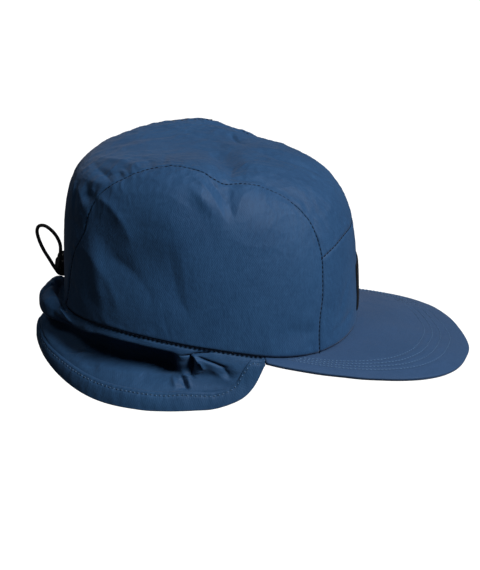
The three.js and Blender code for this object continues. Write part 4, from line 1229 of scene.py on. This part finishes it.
    def plain(self, angles: Array, shares: Array) -> Array:
        """Uncrumpled points of directions in degrees and shares."""
        turned = np.radians(angles)
        out, up = self.section_values(angles, shares)
        points = self.crown.hem_point(turned) + self.crown.hem_outward(turned) * out[..., None]
        return points + up[..., None] * UP

    def crumple(self, angles: Array, shares: Array) -> Array:
        """Height of the crumples in millimetres."""
        scale = np.array([self.mm_per_degree, self.mm_per_share])
        rows = tuple((*(row[:2] * scale), *(row[2:4] * scale), *row[4:]) for row in np.array(self.crumples))
        return crease_heights(np.stack([angles, shares], axis=-1) * scale, rows)

    def build(self, finishes: Finishes) -> SceneObject:
        """Builds and dresses the flap."""
        around = np.linspace(self.start_angle, 360 - self.start_angle, self.columns)
        shares, angles = grid_over(np.linspace(0, 1, self.rows), around)
        points = self.plain(angles, shares)
        soft = ClothNoise(31).at(points / np.array(self.soft_sizes))
        fine = ClothNoise(32).at(points / self.fine_size)
        free = soft_step(shares, *self.loose_start) * (1 - soft_step(shares, *self.loose_end))
        height = self.crumple(angles, shares) + self.soft_height * soft + self.fine_height * fine
        outer = points + grid_normals(points) * (free * height)[..., None]
        inner = outer - grid_normals(outer) * self.wall
        obj = cloth_shell("folded_flap", outer, inner, Orientation.REVERSED)
        dress(obj, finishes.flap, CAP_BODY, "flap_cloth", "neck_flap")
        return obj


@dataclass(frozen=True)
class FlapHem:
    """Turned hem band round the flap's free edge, with its stitch row."""

    flap: FlapForm
    lift: float = 0.9
    wall: float = 0.45
    inner_gap: float = 0.35
    rows: int = 22
    columns: int = 440
    start_angle: float = 64.8
    fullness: float = 0.5
    pucker: float = 0.3
    pucker_edge: tuple = (1.5, 5.0)
    pull: float = 0.35
    pull_width: float = 2.5
    # noise cells per degree and per band width
    pucker_cells: tuple = (0.33, 1.1)
    pull_cells: tuple = (0.6, 0.5)
    groove_depth: float = 0.4
    groove_width: float = 0.9
    roll: float = 0.7
    roll_width: float = 0.8
    stitch_inset: float = 2.6
    stitch_rise: float = 0.12
    stitch_start: float = 68.0
    stitch_columns: int = 900
    stitch_rows: int = 60
    # side and reach of the points round the edge
    lip: tuple = ((0.9, 0.5), (0.1, 0.95), (-0.9, 0.6))
    # angle from the front, share of the section
    top_line: tuple = (
        (65, 0.38), (69, 0.24), (71, 0.26), (74, 0.52), (77.5, 0.8), (82, 0.875), (92, 0.889), (180, 0.889),
    )

    def ground(self, start: float, columns: int, rows: int) -> tuple[Array, Array, Array]:
        """Angles, steps and flap points over the band, from its top to the edge.

        Args:
            start: first direction in degrees.
            columns: points round the hem.
            rows: points across the band.

        Returns:
            Three grids.
        """
        steps, angles = grid_over(np.linspace(0, 1, rows), np.linspace(start, 360 - start, columns))
        top = RowCurve(self.top_line).at(np.minimum(angles, 360 - angles))[..., 0]
        return angles, steps, self.flap.plain(angles, top + (1 - top) * steps)

    def build(self, finishes: Finishes) -> SceneObject:
        """Builds and dresses the band."""
        a, s, base = self.ground(self.start_angle, self.columns, self.rows)
        normal = grid_normals(base)
        from_top = run_lengths(base, 0)
        from_row = from_top - self.stitch_inset
        places = np.stack([a, s, np.zeros_like(a)], axis=-1)
        pucker = ClothNoise(41).at(places * np.array([*self.pucker_cells, 1]))
        pull = ClothNoise(42).at(places * np.array([*self.pull_cells, 1]))
        height = self.lift + self.fullness * np.sin(np.pi * s)
        height = height + self.pull * pull * bell(from_row, self.pull_width)
        height = height + self.pucker * pucker * soft_step(from_top, *self.pucker_edge)
        height = height - self.groove_depth * bell(from_row, self.groove_width)
        outer = base + normal * (height - self.roll * bell(from_top, self.roll_width))[..., None]
        inside = base - normal * (self.flap.wall + self.inner_gap)
        down = np.gradient(base, axis=0)[-1]
        down = down / np.linalg.norm(down, axis=-1, keepdims=True)
        lip = np.stack([base[-1] + normal[-1] * side + down * reach for side, reach in self.lip])
        path = np.concatenate([outer, lip, inside[::-1]])
        back = path - grid_normals(path) * self.wall
        obj = cloth_shell("turned_hem", path, back, Orientation.REVERSED)
        dress(obj, finishes.band, CAP_BODY, "hem_cloth", "flap_hem")
        return obj

    def stitch_line(self) -> Array:
        """Middle line of the stitch row on the band."""
        _, _, base = self.ground(self.stitch_start, self.stitch_columns, self.stitch_rows)
        rows = np.abs(run_lengths(base, 0) - self.stitch_inset).argmin(axis=0)
        raised = base + grid_normals(base) * (self.lift + self.stitch_rise)
        return raised[rows, np.arange(self.stitch_columns)]


@dataclass(frozen=True)
class Drawcord:
    """Braided elastic cord: loop, two passes through the lock and two tails."""

    diameter: float = 2.5
    sides: int = 16
    rings: int = 260
    lock_centre: tuple = (-103.2, 35.5, 23.4)
    lock_heading: float = -23.0
    lock_height: float = 17.0
    upper_strand: float = 6.6
    lower_strand: float = 3.6
    through: tuple = (7.6, 3.0, -3.0, -7.6)
    loop: tuple = (
        (-105.4, 26.8, 27.5), (-104.7, 26.2, 34.0), (-104.6, 25.6, 40.3), (-106.6, 25.2, 46.2),
        (-110.8, 25.6, 51.6), (-115.4, 26.4, 54.3), (-119.1, 27.2, 53.6), (-120.5, 27.6, 50.0),
        (-119.2, 27.4, 43.3), (-116.2, 26.8, 36.1), (-112.4, 26.2, 29.6), (-109.0, 25.8, 23.6),
    )
    upper_tail: tuple = ((3.2, 17.4, 0.6), (2.0, 14.4, 4.2), (0.6, 11.2, 7.0))
    lower_tail: tuple = ((-0.6, 10.4, 2.6), (-1.2, 13.0, 0.2))

    def from_lock(self, point: tuple[float, float, float]) -> list[float]:
        """Frame point of a point in lock coordinates, in millimetres."""
        c, s = math.cos(math.radians(self.lock_heading)), math.sin(math.radians(self.lock_heading))
        x, y, z = point
        cx, cy, cz = self.lock_centre
        return [cx + x * c - y * s, cy + x * s + y * c, cz - self.lock_height / 2 + z]

    def path(self) -> Array:
        """Middle line of the cord in millimetres."""
        points = [self.from_lock(p) for p in self.upper_tail]
        points += [self.from_lock((0, y, self.upper_strand)) for y in self.through]
        points += [list(p) for p in self.loop]
        points += [self.from_lock((0, -y, self.lower_strand)) for y in self.through]
        points += [self.from_lock(p) for p in self.lower_tail]
        return smooth_line(np.array(points, float), self.rings)

    def tube(self, line: Array, run: Array) -> SceneObject:
        """Round tube along a line.

        Args:
            line: middle line in millimetres.
            run: length along the line at its points.

        Returns:
            The closed tube.
        """
        tangent = np.gradient(line, axis=0)
        tangent /= np.linalg.norm(tangent, axis=1, keepdims=True)
        side = np.cross(tangent[0], UP)
        turn = np.linspace(0, 2 * np.pi, self.sides, endpoint=False)
        rings = []
        for p, t in zip(line, tangent):
            side = side - t * np.dot(side, t)
            side /= np.linalg.norm(side)
            around = np.cos(turn)[:, None] * side + np.sin(turn)[:, None] * np.cross(t, side)
            rings.append(p + self.diameter / 2 * around)
        girth = np.tile(turn * self.diameter / 2, len(line))
        uv = np.vstack([np.stack([np.repeat(run, self.sides), girth], axis=1), [[0, 0], [run[-1], 0]]])
        points = np.vstack([*rings, line[:1], line[-1:]])
        return make_object("elastic_cord", points, tube_faces(len(line), self.sides), uv)

    def build(self, finishes: Finishes, carried: list[SceneObject]) -> None:
        """Args:
            finishes: the cap's finishes.
            carried: the lock pieces on the cord; not used.
        """
        line = self.path()
        run = np.concatenate([[0], np.cumsum(np.linalg.norm(np.diff(line, axis=0), axis=1))])
        obj = self.tube(line, run)
        dress(obj, finishes.cord, CAP_BODY, "cord", "drawcord")
        log.info("cord: %.1f mm", run[-1])


@dataclass(frozen=True)
class CordLock:
    """Egg-shaped lock body and its plunger, turned on a lathe and slotted."""

    cord: Drawcord
    segments: int = 64
    slot_width: float = 3.1
    slot_reach: float = 15.0
    # lower and upper height of the slot
    body_slot: tuple = (2.1, 8.1)
    plunger_slot: tuple = (-1.0, 11.0)
    # radius, height
    body_outline: tuple = (
        (0, 0), (2.6, 0.0), (3.8, 0.12), (4.6, 0.4), (5.25, 0.85), (5.75, 1.5), (6.1, 2.3), (6.35, 3.4),
        (6.48, 4.6), (6.5, 5.9), (6.46, 7.2), (6.34, 8.5), (6.15, 9.8), (5.95, 10.8), (5.75, 11.5),
        (5.5, 11.85), (5.25, 12.0), (4.95, 11.95), (4.8, 11.75), (4.8, 1.2), (0, 1.2),
    )
    plunger_outline: tuple = (
        (0, 4.0), (4.3, 4.0), (4.5, 4.2), (4.5, 13.4), (4.42, 14.3), (4.15, 15.2), (3.6, 15.95),
        (2.8, 16.5), (1.7, 16.88), (0.8, 16.98), (0, 17.0),
    )

    def placed(self, name: str, local: list, faces: list) -> SceneObject:
        """A mesh object from points in lock coordinates."""
        return make_object(name, np.array([self.cord.from_lock(tuple(p)) for p in local]), faces)

    def turned(self, name: str, outline: tuple, slot: tuple[float, float]) -> SceneObject:
        """Turned solid with the cord slot cut through it.

        Args:
            name: piece name.
            outline: radius and height rows from the axis back to the axis.
            slot: lower and upper height of the slot.

        Returns:
            The new object in the cap's frame.
        """
        turn = np.linspace(0, 2 * np.pi, self.segments, endpoint=False)
        ring = [(r, z) for r, z in outline if r > 0]
        local = [[r * math.cos(t), r * math.sin(t), z] for r, z in ring for t in turn]
        local += [[0, 0, outline[0][1]], [0, 0, outline[-1][1]]]
        obj = self.placed(name, local, tube_faces(len(ring), self.segments))
        half, reach = self.slot_width / 2, self.slot_reach
        corners = [(x, y, z) for x in (-half, half) for y in (-reach, reach) for z in slot]
        box_faces = [[0, 1, 3, 2], [4, 6, 7, 5], [0, 4, 5, 1], [2, 3, 7, 6], [0, 2, 6, 4], [1, 5, 7, 3]]
        cutter = self.placed("slot_cutter", corners, box_faces)
        cut = obj.modifiers.new("slot", "BOOLEAN")
        cut.object = cutter
        cut.operation = "DIFFERENCE"
        cut.solver = "EXACT"
        apply_modifiers(obj)
        bpy.data.objects.remove(cutter)
        return obj

    def build(self, finishes: Finishes) -> list[SceneObject]:
        """Builds and dresses the lock body and the button."""
        body = self.turned("lock_shell", self.body_outline, self.body_slot)
        dress(body, finishes.lock, CAP_BODY, "lock", "cord_lock")
        button = self.turned("lock_plunger", self.plunger_outline, self.plunger_slot)
        dress(button, finishes.button, BUTTON_BODY, "button", "lock_button")
        return [body, button]


@dataclass(frozen=True)
class Stitch:
    """Sizes of one kind of stitch, in millimetres, and its thread."""

    thread: bpy.types.Material
    pitch: float
    length: float
    radius: float


class StitchTree:
    """Geometry Nodes tree that lays thread stitches along a line."""

    sizes = ("Pitch", "Stitch Length", "Thread Radius")
    kinds = {
        "start": "NodeGroupInput",
        "curve": "GeometryNodeMeshToCurve",
        "points": "GeometryNodeCurveToPoints",
        "ball": "GeometryNodeMeshUVSphere",
        "size": "ShaderNodeCombineXYZ",
        "lay": "GeometryNodeInstanceOnPoints",
        "smooth": "GeometryNodeSetShadeSmooth",
        "real": "GeometryNodeRealizeInstances",
        "paint": "GeometryNodeSetMaterial",
        "end": "NodeGroupOutput",
    }
    # from node, its output, to node, its input
    joints = (
        ("start", "Geometry", "curve", "Mesh"),
        ("curve", "Curve", "points", "Curve"),
        ("start", "Pitch", "points", "Length"),
        ("points", "Points", "lay", "Points"),
        ("points", "Rotation", "lay", "Rotation"),
        ("ball", "Mesh", "lay", "Instance"),
        ("start", "Thread Radius", "size", "X"),
        ("start", "Thread Radius", "size", "Y"),
        ("start", "Stitch Length", "size", "Z"),
        ("size", "Vector", "lay", "Scale"),
        ("lay", "Instances", "smooth", "Geometry"),
        ("smooth", "Geometry", "real", "Geometry"),
        ("real", "Geometry", "paint", "Geometry"),
        ("start", "Thread", "paint", "Material"),
        ("paint", "Geometry", "end", "Geometry"),
    )

    def __init__(self) -> None:
        """Builds the tree with its named inputs."""
        self.tree = bpy.data.node_groups.new("stitch_row", "GeometryNodeTree")
        self.add_input("Geometry", "NodeSocketGeometry")
        self.inputs = [self.add_input(name, "NodeSocketFloat") for name in self.sizes]
        self.inputs.append(self.add_input("Thread", "NodeSocketMaterial"))
        self.tree.interface.new_socket("Geometry", in_out="OUTPUT", socket_type="NodeSocketGeometry")
        nodes = {key: self.tree.nodes.new(kind) for key, kind in self.kinds.items()}
        nodes["points"].mode = "LENGTH"
        for key, value in (("Segments", 8), ("Rings", 6), ("Radius", 1.0)):
            nodes["ball"].inputs[key].default_value = value
        for source, output, target, socket in self.joints:
            self.tree.links.new(nodes[source].outputs[output], nodes[target].inputs[socket])

    def add_input(self, name: str, kind: str) -> str:
        """Adds an input to the tree and returns its identifier."""
        return self.tree.interface.new_socket(name, in_out="INPUT", socket_type=kind).identifier

    def sew(self, name: str, lines: list[Array], stitch: Stitch, slot: str) -> None:
        """Lays stitches along several lines as one piece.

        Args:
            name: piece name.
            lines: middle lines in millimetres.
            stitch: sizes and thread.
            slot: not used.
        """
        points, edges, start = [], [], 0
        for line in lines:
            points.extend((line * MM).tolist())
            edges.extend((start + k, start + k + 1) for k in range(len(line) - 1))
            start += len(line)
        mesh = bpy.data.meshes.new(name)
        mesh.from_pydata(points, edges, [])
        obj = link_object(name, mesh)
        rows = obj.modifiers.new("rows", "NODES")
        rows.node_group = self.tree
        sizes = (stitch.pitch * MM, stitch.length / 2 * MM, stitch.radius * MM, stitch.thread)
        for key, value in zip(self.inputs, sizes):
            rows[key] = value
        apply_modifiers(obj)
        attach(obj, CAP_BODY)
        log.info("%s: %d faces", name, len(obj.data.polygons))


@dataclass(frozen=True)
class Stitching:
    """Every stitched row of the cap."""

    panels: CrownPanels
    peak: PeakForm
    hem: FlapHem
    seam_lift: float = -0.1
    hem_start: float = 66.0
    hem_points: int = 700
    hem_inset: float = 0.35
    hem_drop: float = 0.35
    band_steps: int = 3000
    # steps that set the dark spots of painted needle-hole shade between the band stitches
    hole_shift: int = 20

    def hem_line(self) -> Array:
        """Line just under the crown's hem, from peak corner to peak corner round the rear."""
        angle = np.radians(np.linspace(self.hem_start, 360 - self.hem_start, self.hem_points))
        form = self.panels.form
        return form.hem_point(angle) - form.hem_outward(angle) * self.hem_inset - UP * self.hem_drop

    def build(self, finishes: Finishes) -> None:
        """Sews every row."""
        tree, panels = StitchTree(), self.panels
        dark, tone = finishes.dark_thread, finishes.tone_thread
        band_row = self.hem.stitch_line()
        hole_shade_points = even_points(band_row, self.band_steps)[self.hole_shift :]
        charts = (panels.arch_right, panels.arch_left, panels.front_line())
        seams = [panels.seam_line(chart, self.seam_lift) for chart in charts]
        tree.sew("seam_stitches", seams, Stitch(dark, 3.1, 2.1, 0.32), "crown_cloth")
        tree.sew("hem_stitches", [self.hem_line()], Stitch(dark, 3.1, 2.4, 0.34), "crown_cloth")
        tree.sew("peak_stitches", self.peak.stitch_lines(), Stitch(tone, 2.6, 1.8, 0.2), "peak_cloth")
        tree.sew("band_stitches", [band_row], Stitch(tone, 3.0, 1.8, 0.34), "hem_cloth")
        # Dark thread spots between the band stitches: painted shade of the needle holes.
        tree.sew("band_needle_hole_shade", [hole_shade_points], Stitch(dark, 3.0, 0.9, 0.4), "hem_cloth")


@dataclass(frozen=True)
class Studio:
    """Camera, lights, world and floor."""

    elevation: float = 21.5
    distance: float = 1.5
    pixels_per_mm: float = 1.46
    target: tuple = (0.0199, 0.0, 0.0206)
    frame_height: int = 570
    sensor_height: float = 24.0
    clip_end: float = 50.0
    floor_height: float = -0.55
    floor_reach: float = 12.0
    world_strength: float = 0.035
    # name, direction to the light, strength, angular size in degrees, whether it shines on gloss
    suns: tuple = (
        ("key_sun", (0.58, -0.52, 0.61), 4.2, 20.0, True),
        ("rear_sun", (-0.4, -0.4, 1.0), 0.25, 12.0, True),
        ("far_sun", (-0.3, 0.95, 0.15), 0.45, 40.0, False),
        ("top_sun", (0.5, 0.1, 1.0), 0.8, 40.0, True),
    )

    def camera(self) -> None:
        """Adds the camera at the photograph's viewing angle."""
        data = bpy.data.cameras.new("studio_camera")
        data.sensor_fit = "VERTICAL"
        data.sensor_height = self.sensor_height
        data.lens = self.pixels_per_mm * self.distance / MM / self.frame_height * self.sensor_height
        data.clip_end = self.clip_end
        obj = link_object("studio_camera", data)
        tilt = math.radians(self.elevation)
        x, y, z = self.target
        obj.location = (x, y - self.distance * math.cos(tilt), z + self.distance * math.sin(tilt))
        obj.rotation_euler = (math.pi / 2 - tilt, 0.0, 0.0)
        bpy.context.scene.camera = obj

    def lights(self) -> None:
        """Adds the soft suns."""
        for name, (x, y, z), strength, spread, glossy in self.suns:
            data = bpy.data.lights.new(name, "SUN")
            data.energy = strength
            data.angle = math.radians(spread)
            obj = link_object(name, data)
            obj.rotation_euler = (math.atan2(math.hypot(x, y), z), 0.0, math.atan2(y, x) + math.pi / 2)
            obj.visible_glossy = glossy

    def floor(self) -> None:
        """Adds the pale floor."""
        mesh = bpy.data.meshes.new("studio_floor")
        r, z = self.floor_reach, self.floor_height
        mesh.from_pydata([(-r, -r, z), (r, -r, z), (r, r, z), (-r, r, z)], [], [(0, 1, 2, 3)])
        obj = link_object("studio_floor", mesh)
        mesh.materials.append(FloorFinish().material())
        obj.visible_diffuse = False
        obj.visible_glossy = False

    def build(self) -> None:
        """Sets up the whole studio."""
        self.camera()
        self.lights()
        world = bpy.data.worlds.new("studio_world")
        world.use_nodes = True
        sky = world.node_tree.nodes["Background"].inputs
        sky["Color"].default_value = (1.0, 1.0, 1.0, 1.0)
        sky["Strength"].default_value = self.world_strength
        bpy.context.scene.world = world
        bpy.context.scene.view_settings.view_transform = "Standard"
        self.floor()


def write_sizes() -> None:
    """Updates the view layer."""

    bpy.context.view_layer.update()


def main() -> None:
    """Builds the whole cap in order."""
    logging.basicConfig(level=logging.INFO, format="%(name)s: %(message)s")
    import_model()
    Studio().build()
    finishes = Finishes()
    form = CrownForm()
    panels = CrownPanels(form, CrownWrinkles())
    panels.build(finishes)
    peak = PeakForm(form)
    peak.build(finishes)
    FrontPatch(panels).build(finishes)
    flap = FlapForm(form)
    flap_object = flap.build(finishes)
    hem = FlapHem(flap)
    hem_object = hem.build(finishes)
    cord = Drawcord()
    lock_pieces = CordLock(cord).build(finishes)
    cord.build(finishes, lock_pieces)
    Stitching(panels, peak, hem).build(finishes)
    write_sizes()


if __name__ == "__main__":
    main()
